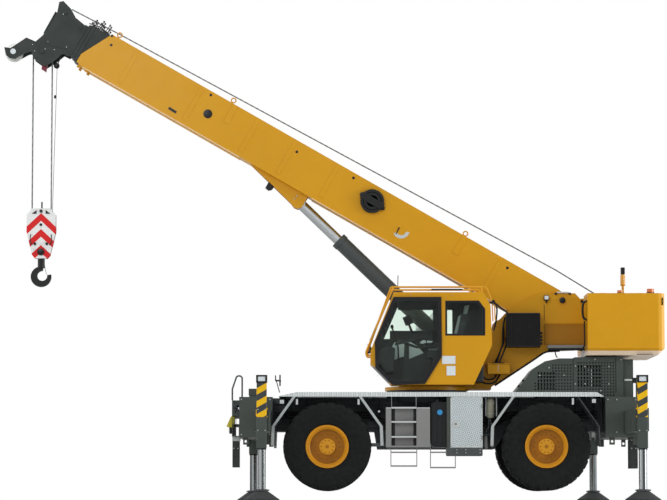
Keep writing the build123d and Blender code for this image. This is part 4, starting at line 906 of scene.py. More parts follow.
def tyre_lug(middle, turn, side, depth):
    """A tread bar from the middle of the tread out over the shoulder: stations across the tread give its
    height, half width and lead, and the bar's section is a bevelled rectangle."""
    stations = np.array([  # across, top radius, half width, lead along the tread
        (0.006, 0.744, 0.046, 0.000), (0.060, 0.745, 0.050, 0.006), (0.110, 0.745, 0.054, 0.015),
        (0.160, 0.745, 0.058, 0.026), (0.200, 0.744, 0.062, 0.036), (0.226, 0.738, 0.064, 0.044),
        (0.243, 0.718, 0.064, 0.048), (0.252, 0.684, 0.060, 0.050),
    ])
    across, top, half, lead = stations.T
    section = np.array([(-1.12, 0), (-1, 0.8), (-0.88, 1), (0.88, 1), (1, 0.8), (1.12, 0)])
    radius = (top - depth - 0.012)[:, None] + (depth + 0.012) * section[None, :, 1]
    angle = turn + (lead[:, None] * 1.6 + half[:, None] * section[None, :, 0]) / top[:, None]
    grid = np.stack([radius * np.cos(angle), np.broadcast_to(side * across[:, None], radius.shape),
                     radius * np.sin(angle)], -1)
    return skin(grid + np.asarray(middle))


def wheel_studs(middle, side):
    """Stud nuts round the disc, the hub cover's bolts and its plug."""
    rows = ((16, 0.212, 0.092), (10, 0.104, 0.190))  # how many, circle's radius, place along the axle
    nuts, cover = ([middle + [radius * np.cos(turn), side * out, radius * np.sin(turn)]
                    for turn in np.arange(count) * 2 * np.pi / count] for count, radius, out in rows)
    hub = middle + [0, side * rows[1][2], 0]
    plug = turned([(0, 0.03), (side * 0.018, 0.03), (side * 0.02, 0.024)], hub, 1, 14)
    return [bolts(nuts, 0.017, side=side, height=0.024), bolts(cover, 0.012, side=side), plug]


class CRANE_OT_tyres(bpy.types.Operator):
    """Replaces the plain tyres with treaded ones and bolts the wheels on"""
    bl_idname = "crane.tyres"
    bl_label = "Tyres"

    def execute(self, context):
        sizes = context.scene.crane_sizes
        for corner in CORNERS:
            middle = np.array(JOINTS[f"spin_{corner}"]["pos_m"])
            side = np.sign(middle[1])
            body = f"wheel_{corner}"
            lugs = [tyre_lug(middle, 2 * np.pi * (n + 0.25 * (way + 1)) / sizes.lugs, way, sizes.lug_depth)
                    for n in range(sizes.lugs) for way in (-1, 1)]
            made = piece(f"treaded_tyre_{corner}", body, [("tyre_rubber", [tyre_carcass(middle), *lugs])],
                         40.0)
            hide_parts(f"tyre_{corner}")
            piece(f"wheel_studs_{corner}", body, [("rim_orange_bolts", wheel_studs(middle, side))])
        return {"FINISHED"}


# ------------------------------------------------------------------ outriggers
RIM_BARS = (  # low X, high X, low Z, high Z of a window rim's bars, from the jack tube's middle and top
    (-0.088, -0.062, -0.120, -0.004), (0.062, 0.088, -0.120, -0.004),
    (-0.088, 0.088, -0.024, -0.004), (-0.088, 0.088, -0.122, -0.106),
)


def add_jack_cap(corner, x, y, bolt):
    """The window in a jack tube's cap, the rim round it, and bolts near the tube's top and foot."""
    top = low_high(f"beam_{corner}")[1][2]
    side = np.sign(y)
    half_tube, bolt_face = 0.090, 0.0817
    face = y + side * half_tube
    window = box([x - 0.060, face - side * 0.002, top - 0.104], [x + 0.060, face + side * 0.006, top - 0.026],
                 0.004)
    rim = [box([x + x0, face, top + z0], [x + x1, face + side * 0.016, top + z1], 0.003)
           for x0, x1, z0, z1 in RIM_BARS]
    spots = [(x + aside, y + side * bolt_face, top - down) for aside in (-0.058, 0.058)
             for down in (0.900, 0.560)]
    heads = bolts(spots, bolt * 0.8, side=side)
    piece(f"jack_cap_{corner}", f"outrigger_{corner}", [
        ("sign_white", [window]), ("gloss_black", rim), ("zinc_bolt", [heads])])


def add_jack_wiper(corner, x, y):
    """The wiper ring at the foot of a jack's tube."""
    foot = low_high(f"beam_{corner}")[0][2]
    wiper = turned([(0, 0.078), (0.016, 0.078), (0.022, 0.072)], (x, y, foot - 0.024), 2, 20)
    piece(f"jack_wiper_{corner}", f"outrigger_{corner}", [("black_plastic", [wiper])])


def add_float_collar(corner, x, y):
    """The collar that holds a float on its rod, with the ends of its pin."""
    profile = [(0.150, 0.100), (0.158, 0.112), (0.176, 0.112), (0.184, 0.090)]
    collar = turned(profile, (x, y, 0.0), 2, 20)
    pins = [bolts([(x + 0.113 * way, y, 0.166)], 0.014, axis=0, side=way) for way in (-1, 1)]
    piece(f"float_collar_{corner}", f"jack_{corner}", [("cast_iron", [collar, *pins])])


class CRANE_OT_jacks(bpy.types.Operator):
    """Adds the windows and bolts of the jack caps, the wipers and the floats' collars"""
    bl_idname = "crane.jacks"
    bl_label = "Jack fittings"

    def execute(self, context):
        for corner in CORNERS:
            x, y, _ = sum(low_high(f"jack_{corner}")) / 2
            add_jack_cap(corner, x, y, context.scene.crane_sizes.bolt)
            add_jack_wiper(corner, x, y)
            add_float_collar(corner, x, y)
        return {"FINISHED"}


# ------------------------------------------------------------------ carrier
def add_deck_mirror():
    """The mirror on its arm at the deck's front corner."""
    mirror = [hose([(2.515, 1.19, 1.815), (2.572, 1.19, 2.02)], 0.008),
              hose([(2.590, 1.19, 2.020), (2.490, 1.19, 2.010)], 0.014)]
    for x, z, tall, thick in ((2.583, 2.055, 0.10, 0.018), (2.508, 2.020, 0.19, 0.024)):
        mirror.append(block(x - thick / 2, x + thick / 2, 1.12, 1.25, z - tall / 2, z + tall / 2, 0.006))
    piece("deck_mirror", "carrier", [("gloss_black", mirror)])


def add_wheel_chock():
    """The chock plate and the handle on the deck's front."""
    chock = plate([(3.345, 1.420), (3.275, 1.420), (3.300, 1.225), (3.420, 1.250)], 0.60, 0.92, 0.006)
    handle = hose([(3.30, 0.70, 1.42), (3.30, 0.70, 1.465), (3.30, 0.84, 1.465), (3.30, 0.84, 1.42)], 0.007,
                  0.02)
    piece("wheel_chock", "carrier", [("pale_yellow", [chock]), ("gloss_black", [handle])])


def add_step_hangers():
    """Blocks that the belts of the hanging steps are bolted to."""
    hanger = [block(3.19, 3.31, 0.585, 0.90, 1.005, 1.082, 0.006),
              block(-3.55, -3.41, 0.585, 0.90, 1.01, 1.058)]
    piece("step_hangers", "carrier", [("pale_paint", hanger[:1]), ("frame_black", hanger[1:])])


def add_bumper_pipes():
    """Three bent pipes at the front and their two clips."""
    pipes = [hose([(3.215, y, 1.45), (3.225, y, 1.56), (3.285, y, 1.60), (3.29, y, 1.67)], 0.011)
             for y in (1.012, 0.90, 0.78)]
    pipes += [block(3.20, 3.26, 1.001, 1.012, 1.475, 1.50), block(3.20, 3.30, 1.001, 1.010, 1.60, 1.63)]
    piece("bumper_pipes", "carrier", [("frame_black", pipes)])


def add_belt_bolts():
    """Bolts through the belts of the hanging steps."""
    belt_bolts = [(x + dx, 0.892, z) for x in (3.259, -3.479) for dx in (-0.035, 0.035) for z in (0.88, 1.02)]
    piece("belt_bolts", "carrier", [("zinc_bolt", [bolts(places(belt_bolts), 0.012)])])


class CRANE_OT_front(bpy.types.Operator):
    """Adds the mirror, the chock plate, the steps' hangers and the pipes at the front of the carrier"""
    bl_idname = "crane.front"
    bl_label = "Front fittings"

    def execute(self, context):
        add_deck_mirror()
        add_wheel_chock()
        add_step_hangers()
        add_bumper_pipes()
        add_belt_bolts()
        return {"FINISHED"}


FRAME_TABS = [  # rear X, front X, low Z, high Z of the small pale brackets under the deck's edge
    (2.440, 2.510, 1.625, 1.690), (2.205, 2.240, 1.610, 1.705), (1.165, 1.200, 1.610, 1.705),
    (-2.445, -2.412, 1.610, 1.720), (-2.815, -2.750, 1.640, 1.705),
]
FRAME_RIBS = (2.35, 2.05, 1.05, 0.80, -1.25, -1.55, -2.55, -2.85)  # rear X of each rib on the frame's webs
BOX_BOLTS = [  # X, Z on the left ends of the outrigger boxes
    (3.16, 1.70), (2.68, 1.70), (3.16, 1.11), (2.68, 1.11), (-3.18, 1.70), (-3.175, 1.15), (-3.03, 1.70),
    (-3.50, 1.70),
]
HOOD_BOLTS = [  # X, Z on the hood's left side
    (-2.840, 2.390), (-3.285, 2.390), (-2.315, 2.125), (-2.670, 2.270), (-3.080, 2.270), (-2.670, 1.975),
    (-3.075, 1.975), (-2.510, 2.280), (-2.505, 1.975), (-2.940, 1.860), (-1.900, 2.120), (-2.060, 2.250),
]


def add_edge_brackets():
    """Small pale brackets under the deck's edge."""
    tabs = [block(x0, x1, side * DECK_EDGE, side * (DECK_EDGE + 0.041), z0, z1, 0.005)
            for x0, x1, z0, z1 in FRAME_TABS for side in (-1, 1)]
    piece("edge_brackets", "carrier", [("pale_paint", tabs)])


def add_box_bolts(bolt):
    """Bolts on the ends of the outrigger boxes."""
    heads = [(x, side * BOX_FACE, z) for x, z in BOX_BOLTS for side in (-1, 1)]
    left = bolts(places([spot for spot in heads if spot[1] > 0]), bolt)
    right = bolts(places([spot for spot in heads if spot[1] < 0]), bolt, side=-1)
    piece("box_bolts", "carrier", [("zinc_bolt", [left, right])])


def add_frame_ribs():
    """Ribs and rails along the frame's webs, and a short arm on the left."""
    ribs = [block(x, x + 0.014, side * FRAME_SIDE, side * 0.52, 1.20, 1.73) for x in FRAME_RIBS
            for side in (-1, 1)]
    rails = [block(-2.95, 2.60, side * FRAME_SIDE, side * 0.475, z, z + 0.05) for z in (1.24, 1.64)
             for side in (-1, 1)]
    arm = block(0.64, 0.97, 1.13, 1.17, 0.905, 0.965)
    piece("frame_ribs", "carrier", [("frame_black", ribs + rails + [arm])])


def add_brake_lines():
    """Three lines along each web, one above another."""
    lines = [hose([(2.60, side * 0.53, z), (0.95, side * 0.53, z), (0.80, side * 0.56, z - 0.12),
                   (-1.20, side * 0.56, z - 0.12), (-1.35, side * 0.53, z), (-2.90, side * 0.53, z)], 0.014,
                  0.1) for z in (1.40, 1.45, 1.50) for side in (-1, 1)]
    piece("brake_lines", "carrier", [("oil_hose", lines)])


def add_grease_points():
    """Three stubs on the left side, the first with a cap."""
    spots = places([(0.840, 1.19, 1.495), (0.930, 1.19, 1.60), (0.775, 1.19, 1.23)])
    stub = [tube([spot + [0, -0.72, 0], spot + [0, 0.0, 0]], 0.012) for spot in spots]
    cap = turned([(0, 0.020), (0.02, 0.020), (0.024, 0.012)], spots[0], 1, 12)
    piece("grease_points", "carrier", [("frame_black", stub), ("zinc_bolt", [cap])])


def add_accumulator():
    """The accumulator with its straps, bars and shelf."""
    accumulator = turned([(1.385, 0.030), (1.395, 0.055), (1.420, 0.064), (1.690, 0.064), (1.715, 0.052),
                          (1.735, 0.020)], at(-1.050, 1.060, 0), 2, 20)
    straps = [ring(at(-1.050, 1.060, z), 0.066, 0.006, 2) for z in (1.46, 1.64)]
    bars = [hose([(x, 1.05, 1.73), (x, 1.05, 1.42)], 0.010) for x in (-0.972, -1.150)]
    shelf = block(-1.19, -0.96, 0.98, 1.14, 1.735, 1.744)
    piece("accumulator", "carrier",
          [("tan_enamel", [accumulator]), ("zinc_bolt", straps), ("pale_paint", bars),
           ("step_grey", [shelf])])


def add_air_dryer():
    """Two canisters with their pipes and their plate."""
    cans = [turned([(z0, 0.024), (z0 + 0.01, 0.031), (z1 - 0.02, 0.031), (z1, 0.020)], at(x, 1.06, 0), 2, 16)
            for x, z0, z1 in ((-0.968, 0.865, 1.085), (-1.075, 0.900, 1.185))]
    links = [hose([(-0.968, 1.06, 1.08), (-0.968, 1.06, 1.16), (-1.02, 1.06, 1.22), (-1.02, 1.06, 1.39)],
                  0.011), hose([(-1.075, 1.06, 1.18), (-1.06, 1.06, 1.30), (-1.04, 1.06, 1.40)], 0.011),
             block(-1.13, -0.915, 1.00, 1.12, 1.098, 1.112)]
    piece("air_dryer", "carrier", [("step_grey", cans), ("frame_black", links)])


def add_tank_cap():
    """The left tank's cap on its flange."""
    piece("tank_cap", "carrier",
          [("beacon_blue",
            [turned([(1.168, 0.046), (1.196, 0.048), (1.206, 0.040)], at(-0.1875, 0, 1.482), 1, 24)]),
           ("gloss_black", [turned([(1.166, 0.066), (1.178, 0.066)], at(-0.1875, 0, 1.470), 1, 24)])])


def add_tank_ribs():
    """Ribs on the left tank's face."""
    ribs = [block(x, x + 0.016, 1.165, 1.176, 0.93, 1.64) for x in (-0.285, -0.235, -0.150, -0.085)]
    ribs += [block(-0.300, -0.040, 1.165, 1.174, z, z + 0.02) for z in (0.93, 1.62)]
    piece("tank_ribs", "carrier", [("tank_black", ribs)])


class CRANE_OT_carrier(bpy.types.Operator):
    """Adds the brackets, bolts, pipes and cylinders along the carrier's left side"""
    bl_idname = "crane.carrier"
    bl_label = "Carrier side"

    def execute(self, context):
        bolt = context.scene.crane_sizes.bolt
        add_edge_brackets()
        add_box_bolts(bolt)
        add_frame_ribs()
        add_brake_lines()
        add_grease_points()
        add_accumulator()
        add_air_dryer()
        add_tank_cap()
        add_tank_ribs()
        return {"FINISHED"}


def add_toolbox_frame():
    """The tool box's post, base, door frame, hinges, lock, knob and bolts."""
    post = block(-0.362, -0.302, 0.72, 1.236, 0.756, 1.742, 0.008)
    base = block(-0.905, -0.312, 0.72, 1.239, 0.750, 0.888, 0.006)
    frame_bars = [block(-0.905, -0.885, 1.232, 1.241, 0.90, 1.742),
                  block(-0.386, -0.364, 1.232, 1.241, 0.90, 1.742),
                  block(-0.905, -0.364, 1.232, 1.241, 1.722, 1.744),
                  block(-0.905, -0.364, 1.232, 1.241, 0.890, 0.912)]
    spots = [(x, 1.240, z) for x in (-0.86, -0.62, -0.47) for z in (0.80, 0.85)]
    lock = block(-0.520, -0.410, 1.235, 1.244, 1.225, 1.325, 0.006)
    knob = turned([(1.235, 0.020), (1.250, 0.020), (1.254, 0.014)], at(-0.455, 0, 1.285), 1, 16)
    hinges = [tube(places([(-0.892, 1.243, z), (-0.892, 1.243, z + 0.07)]), 0.009) for z in (1.02, 1.55)]
    piece("toolbox_frame", "carrier", [
        ("carrier_enamel", [post]), ("frame_black", [base]), ("pale_paint", frame_bars + [lock]),
        ("step_grey", [knob] + hinges),
        ("zinc_bolt", [bolts(places(spots), 0.012)])])


def add_ladder_trim():
    """The side ladder's uprights, tread noses, top caps and foot."""
    uprights = [block(x, x + 0.046, 1.121, 1.128, 0.90, 1.556) for x in (0.211, 0.571)]
    treads = [block(0.210, 0.630, 1.226, 1.240, z, z + 0.028, 0.004) for z in (1.053, 1.305, 1.543)]
    caps = [block(x0, x1, 1.13, 1.237, 1.545, 1.562, 0.004) for x0, x1 in ((0.633, 0.723), (-0.019, 0.207))]
    foot = block(-0.02, 0.72, 1.10, 1.236, 0.872, 0.893, 0.004)
    piece("ladder_trim", "carrier", [("gloss_black", uprights), ("pale_paint", treads + caps),
                                     ("frame_black", [foot])])


class CRANE_OT_toolbox(bpy.types.Operator):
    """Adds the tool box's post, frame, hinges, lock and base bolts and the ladder's uprights"""
    bl_idname = "crane.toolbox"
    bl_label = "Tool box and ladder"

    def execute(self, context):
        add_toolbox_frame()
        add_ladder_trim()
        return {"FINISHED"}


def add_hood_bolts(bolt):
    """Bolts on both sides of the hood."""
    heads = [bolts(places([(x, side * HOOD_SIDE, z) for x, z in HOOD_BOLTS]), bolt, side=side)
             for side in (-1, 1)]
    piece("hood_bolts", "carrier", [("zinc_bolt", heads)])


def add_hood_seams():
    """Seams between the hood's panels, and two stops."""
    seams = [block(x, x + 0.010, side * HOOD_SIDE, side * (HOOD_SIDE + 0.0035), 1.83, 2.42)
             for x in (-2.475, -3.20) for side in (-1, 1)]
    stops = [hose([(x, 0.60, z), (x + 0.045, 0.60, z + 0.03)], 0.022)
             for x, z in ((-1.660, 2.020), (-1.585, 1.925))]
    piece("hood_seams", "carrier", [("gloss_black", seams + stops)])


def add_rear_latch():
    """The strip and the bracket behind the hood."""
    strip = block(-3.480, -3.345, 0.699, 0.712, 2.030, 2.062, 0.004)
    bracket = [block(-3.575, -3.485, 0.45, 0.71, 2.00, 2.085), block(-3.575, -3.555, 0.55, 0.71, 1.746, 2.01)]
    piece("rear_latch", "carrier", [("pale_paint", [strip]), ("gloss_black", bracket)])


def add_lamp_glasses():
    """Glasses and rims of the rear lamps, and glasses of the headlamps."""
    lamp_low, lamp_high = low_high("lamps")
    glass, rims = [], []
    for side in (-1, 1):
        for z in (1.20, 1.335, 1.47):
            centre = (lamp_low[0] - 0.002, side * 0.975, z)
            glass.append(turned([(0, 0.050), (-0.012, 0.048), (-0.018, 0.030)], centre, 0, 20))
            rims.append(ring((lamp_low[0] - 0.002, side * 0.975, z), 0.054, 0.006, 0))
    heads = [turned([(0, 0.046), (0.010, 0.044), (0.014, 0.02)], (lamp_high[0], side * y, 1.19), 0, 20)
             for side in (-1, 1) for y in (0.77, 0.86)]
    piece("lamp_glasses", "carrier", [("red_lens", glass[::2]), ("amber_lens", glass[1::2]),
                                      ("gloss_black", rims), ("clear_lens", heads)])


class CRANE_OT_hood(bpy.types.Operator):
    """Adds the bolts, seams, stops and latches of the engine hood and the box behind it"""
    bl_idname = "crane.hood"
    bl_label = "Hood fittings"

    def execute(self, context):
        bolt = context.scene.crane_sizes.bolt
        add_hood_bolts(bolt)
        add_hood_seams()
        add_rear_latch()
        add_lamp_glasses()
        return {"FINISHED"}


# ------------------------------------------------------------------ superstructure
def add_work_lamp(body):
    """Caps of the boom's foot pin, the disc beside them and the work lamp."""
    cap = [turned([(side * 0.308, 0.052), (side * 0.345, 0.052), (side * 0.350, 0.044)],
                  at(-2.330, 0, 3.430), 1, 28) for side in (-1, 1)]
    disc = turned([(0.309, 0.026), (0.33, 0.026)], at(-2.668, 0, 3.412), 1, 16)
    lamp_case = block(-2.098, -2.008, 0.312, 0.40, 3.428, 3.512, 0.008)
    lamp_foot = hose([(-2.053, 0.34, 3.43), (-2.053, 0.34, 3.385)], 0.016)
    lamp_face = block(-2.088, -2.018, 0.399, 0.407, 3.440, 3.502, 0.006)
    piece("work_lamp", body,
          [("gloss_black", cap + [disc, lamp_case, lamp_foot]), ("clear_lens", [lamp_face])])


def add_top_rail(body):
    """The rail on the turret's top."""
    bar = block(-2.440, -2.235, 0.315, 0.35, 3.553, 3.578, 0.006)
    ends = [block(x, x + 0.045, 0.312, 0.355, 3.528, 3.562, 0.006) for x in (-2.478, -2.242)]
    piece("top_rail", body, [("pale_paint", [bar]), ("gloss_black", ends)])


def add_turret_panel(body):
    """The turret's side panel with its ledge and seam, and the shelf below it."""
    panel = block(-2.722, -2.012, TURRET_SIDE, 0.322, 2.664, 3.012, 0.004)
    ledge = block(-2.722, -2.012, TURRET_SIDE, 0.332, 3.028, 3.048, 0.003)
    seam = [block(-2.022, -2.012, 0.309, 0.3125, 3.08, 3.36)]
    shelf = block(-2.712, -2.062, TURRET_SIDE, 0.46, 2.600, 2.654, 0.006)
    under = [block(-2.712, -2.075, TURRET_SIDE, 0.42, 2.566, 2.598, 0.004),
             block(-2.735, -2.712, 0.312, 0.40, 2.60, 3.03)]
    # the panel is in the darker copy of the body enamel: painted shade
    piece("turret_panel", body, [("shade_enamel", [panel]), ("body_enamel", [ledge]), ("step_grey", [shelf]),
                                 ("gloss_black", seam + under)])


def add_winch_hoses(body):
    """A looped hose beside the winch and one that drops from it."""
    loop = hose([(-2.705, 0.90, 3.385), (-2.640, 0.90, 3.355), (-2.625, 0.90, 3.22), (-2.640, 0.90, 3.085),
                 (-2.705, 0.90, 3.055)], 0.019, 0.05)
    drop = hose([(-2.660, 0.88, 3.04), (-2.665, 0.88, 2.62), (-2.62, 0.60, 2.55)], 0.013)
    piece("winch_hoses", body, [("oil_hose", [loop, drop])])


def add_cooler_hoses(body):
    """Hoses round the oil cooler and the valves below it, and two collars."""
    routes = [
        [(-1.135, 0.52, 3.390), (-1.200, 0.52, 3.290), (-1.180, 0.52, 3.060), (-1.14, 0.50, 2.90)],
        [(-1.135, 0.50, 3.395), (-1.385, 0.50, 3.195)],
        [(-1.330, 0.50, 3.130), (-1.290, 0.50, 2.910), (-1.295, 0.50, 2.690), (-1.245, 0.50, 2.530),
         (-1.190, 0.46, 2.345)],
        [(-1.350, 0.46, 2.790), (-1.350, 0.46, 2.640), (-1.270, 0.46, 2.440), (-1.230, 0.46, 2.345)],
        [(-1.310, 0.42, 3.060), (-1.320, 0.42, 2.700), (-1.230, 0.42, 2.500), (-1.160, 0.42, 2.345)],
        [(-0.930, 0.36, 2.160), (-1.000, 0.40, 2.060), (-1.140, 0.42, 2.070), (-1.200, 0.36, 2.170)],
        [(-0.870, 0.34, 2.120), (-0.960, 0.42, 1.990), (-1.160, 0.42, 2.000), (-1.250, 0.34, 2.160)],
    ]
    collars = [block(-1.320, -1.100, 0.34, 0.53, 2.338, 2.352),
               turned([(0.47, 0.030), (0.57, 0.030)], at(-1.130, 0, 3.395), 1, 14)]
    piece("cooler_hoses", body, [("oil_hose", [hose(route, 0.014) for route in routes] + collars)])


def add_belly_hoses(body):
    """Hoses along the turret's lower edge."""
    under_route = [(-2.280, 0.325, 2.560), (-2.030, 0.325, 2.548), (-1.880, 0.325, 2.440),
                   (-1.510, 0.325, 2.195), (-1.160, 0.325, 1.965)]
    drop = [(-2.195, 0.33, 2.560), (-2.215, 0.33, 2.470), (-2.240, 0.33, 2.445)]
    piece("belly_hoses", body, [("oil_hose", [hose(under_route, 0.016), hose(drop, 0.010)])])


def add_cooler_core(body):
    """Fins, frame and pipe stubs of the oil cooler."""
    low, high = low_high("cooler_box")
    rails = [box([x, high[1] - 0.001, low[2]], [x + 0.012, high[1] + 0.008, high[2]], 0.002)
             for x in np.linspace(low[0], high[0] - 0.012, 15)]
    frames = [box([low[0], high[1], z], [high[0], high[1] + 0.014, z + 0.022], 0.003)
              for z in (low[2], high[2] - 0.022)]
    fittings = [turned([(-0.045, 0.020), (0, 0.026)], (low[0], 0.50, z), 0, 12)
                for z in (2.68, 2.74, 2.80, 2.86)]
    piece("cooler_core", body, [("gloss_black", rails + frames + fittings)])


def add_locker_seams(body):
    """The seam and the pale strip on the locker."""
    seam = block(-1.405, -1.035, LOCKER_SIDE, LOCKER_SIDE + 0.003, 2.318, 2.326)
    strip = block(-1.214, -1.206, LOCKER_SIDE, LOCKER_SIDE + 0.0035, 2.190, 2.318)
    piece("locker_seams", body, [("shade_enamel", [seam]), ("sign_white", [strip])])


class CRANE_OT_turret(bpy.types.Operator):
    """Adds the pin caps, lamp, rail, panels, hoses and shelf on the turret's left side"""
    bl_idname = "crane.turret"
    bl_label = "Turret fittings"

    def execute(self, context):
        body = "superstructure"
        add_work_lamp(body)
        add_top_rail(body)
        add_turret_panel(body)
        add_winch_hoses(body)
        add_cooler_hoses(body)
        add_belly_hoses(body)
        add_cooler_core(body)
        add_locker_seams(body)
        return {"FINISHED"}


def add_weight_bosses(body, top):
    """Low bosses on the counterweight's top."""
    mounds = [turned([(top - 0.02, r), (top + 0.018, r * 0.9), (top + 0.030, r * 0.6)], at(x, y, 0), 2, 24)
              for x, r in ((-2.985, 0.13), (-3.63, 0.11)) for y in (-0.62, 0.62)]
    piece("weight_bosses", body, [("body_enamel", mounds)])


def add_weight_slots(body):
    """Dark slots at the counterweight's foot and tail."""
    slot = [block(-3.80, -3.53, side * 1.040, side * 1.060, 2.462, 2.474) for side in (-1, 1)]
    slot += [block(-3.985, -3.975, side * 1.02, side * 1.06, 3.30, 3.43) for side in (-1, 1)]
    piece("weight_slots", body, [("gloss_black", slot)])


def add_beacon_mounts(body, top):
    """The pole's sleeve and head, the rear beacon's stem and two beacon bases."""
    pole_y, rear_y, low_y = 0.640, 0.380, 0.900
    sleeve = turned([(top, 0.030), (top + 0.05, 0.021), (top + 0.150, 0.021), (top + 0.158, 0.040),
                     (top + 0.172, 0.044)], at(-3.340, pole_y, 0), 2, 18)
    stem = turned([(top, 0.014), (top + 0.044, 0.011)], at(-3.838, rear_y, 0), 2, 12)
    head = block(-3.375, -3.305, pole_y - 0.035, pole_y + 0.035, top + 0.350, top + 0.470, 0.008)
    bases = [turned([(z - 0.004, r + 0.006), (z + 0.014, r + 0.006)], at(x, y, top), 2, 24)
             for x, y, z, r in ((-3.270, low_y, 0.004, 0.052), (-3.838, rear_y, 0.045, 0.064))]
    piece("beacon_mounts", body, [("body_enamel", [sleeve]), ("gloss_black", [stem, head] + bases)])


class CRANE_OT_counterweight(bpy.types.Operator):
    """Adds the bosses, slots and beacon mounts of the counterweight"""
    bl_idname = "crane.counterweight"
    bl_label = "Counterweight fittings"

    def execute(self, context):
        body = "superstructure"
        top = low_high("counterweight")[1][2]
        add_weight_bosses(body, top)
        add_weight_slots(body)
        add_beacon_mounts(body, top)
        return {"FINISHED"}


def add_cab_outside(body, outer):
    """Roof bars, the grab handle, two blank plates and the antenna on the cab's left side."""
    front_rail = [(1.040, outer - 0.03, 2.420), (1.066, outer - 0.03, 2.485), (0.590, outer - 0.03, 3.590)]
    side_bar = [(0.560, outer + 0.02, 3.545), (-0.705, outer + 0.02, 3.545), (-0.705, outer - 0.02, 3.500)]
    black_bar = [(-0.045, outer + 0.045, 3.550), (-0.570, outer + 0.045, 3.550)]
    piece("cab_bars", body, [("rail_enamel", [hose(front_rail, 0.015), hose(side_bar, 0.012)]),
                             ("gloss_black", [hose(black_bar, 0.012)])])
    grips = [(0.700, outer + 0.01, 3.020), (0.680, outer + 0.045, 3.030), (0.560, outer + 0.045, 3.290),
             (0.560, outer + 0.01, 3.310)]
    piece("cab_handle", body, [("gloss_black", [hose(grips, 0.012, 0.03)])])
    plates = [block(x0, x1, outer - 0.001, outer + 0.003, z0, z1, 0.001) for x0, x1, z0, z1 in
              ((-0.450, -0.225, 2.295, 2.430), (-0.450, -0.300, 2.100, 2.260))]
    piece("blank_plates", body, [("sign_white", plates)])
    mast = turned([(3.500, 0.020), (3.520, 0.020), (3.560, 0.012), (3.565, 0.006)],
                  at(0.520, outer - 0.12, 0), 2, 12)
    whip = tube(places([(0.520, outer - 0.12, 3.56), (0.512, outer - 0.12, 3.800)]), 0.007)
    piece("antenna", body, [("gloss_black", [mast, whip])])


def add_cab_wipers(body, inner, outer):
    """Two wipers on the windscreen with their motors, and the washers' nozzles."""
    arms = []
    for y in (inner + 0.28, outer - 0.30):
        arms.append(hose([(0.955, y, 2.560), (1.010, y, 2.640), (0.890, y + 0.10, 2.930)], 0.009))
        arms.append(hose([(0.985, y + 0.08, 2.700), (0.790, y + 0.12, 3.170)], 0.012))
        arms.append(block(0.93, 1.00, y - 0.05, y + 0.05, 2.500, 2.570))
    spray = [block(1.000, 1.030, outer - 0.17, outer - 0.12, z, z + 0.045) for z in (2.475, 2.590)]
    piece("wipers", body, [("gloss_black", arms + spray)])


def add_cab_controls(body):
    """The steering column, screen, dashboard, sill, arm rest, levers and the box behind the seat."""
    stalk = hose([(0.500, 0.95, 2.30), (0.510, 0.95, 2.62), (0.570, 0.95, 2.78), (0.610, 0.95, 2.93)], 0.014)
    knob = turned([(2.905, 0.012), (2.925, 0.028), (2.960, 0.024), (2.975, 0.010)], at(0.612, 0.95, 0), 2, 14)
    post = plate([(0.375, 3.090), (0.345, 3.100), (0.225, 2.800), (0.265, 2.790)], 0.72, 0.80)
    screen = plate([(0.430, 3.110), (0.300, 3.165), (0.240, 3.020), (0.370, 2.965)], 0.66, 0.69, 0.006)
    dash = plate([(0.720, 2.160), (0.900, 2.400), (0.900, 2.520), (0.700, 2.640), (0.560, 2.560),
                  (0.600, 2.160)], 0.46, 1.16, 0.02)
    sill = plate([(0.565, 2.610), (0.570, 2.650), (0.060, 2.775), (0.045, 2.735)], 1.120, 1.175, 0.006)
    arm_rest = plate([(0.080, 2.560), (0.080, 2.650), (-0.420, 2.690), (-0.430, 2.600)], 1.085, 1.165, 0.02)
    levers = [hose([(0.020 + dx, 1.12, 2.62), (0.060 + dx, 1.12, 2.80)], 0.009) for dx in (-0.12, 0.0)]
    balls = [turned([(2.790, 0.012), (2.810, 0.022), (2.835, 0.020), (2.845, 0.010)], at(0.060 + dx, 1.12, 0),
                    2, 12) for dx in (-0.12, 0.0)]
    box_rear = block(-0.930, -0.700, 0.46, 1.18, 2.000, 2.560, 0.02)
    piece("cab_controls", body, [("black_plastic", [stalk, knob, post, screen, arm_rest] + levers + balls),
                                 ("cab_trim", [dash, sill, box_rear])])


def add_cab_lining(body, inner):
    """Trim panels on the right wall's inside, round its window and mesh."""
    lining = [block(x0, x1, inner + 0.052, inner + 0.066, z0, z1) for x0, x1, z0, z1 in
              ((-0.900, -0.430, 2.700, 3.420), (-0.318, -0.097, 2.700, 3.420), (-0.900, 0.500, 3.255, 3.440),
               (-0.318, 0.640, 2.740, 2.900))]
    piece("cab_lining", body, [("cab_trim", lining)])


def add_cab_mesh(body, y):
    """The mesh of the right wall's small window: wires rise both ways from its foot, cut at its sides."""
    left, right, foot, rise, pitch, shortest = -0.097, 0.198, 2.90, 0.355, 0.0369, 0.02
    wires = []
    for n in range(9):
        x = left + pitch * n
        for way in (-rise, rise):
            start, end = sorted(np.clip([(left - x) / way, (right - x) / way], 0, 1))
            if (end - start) * rise > shortest:
                ends = [(x + way * t, y, foot + rise * t) for t in (start, end)]
                wires.append(tube(places(ends), 0.005, count=6))
    piece("cab_mesh", body, [("cab_trim", wires)])


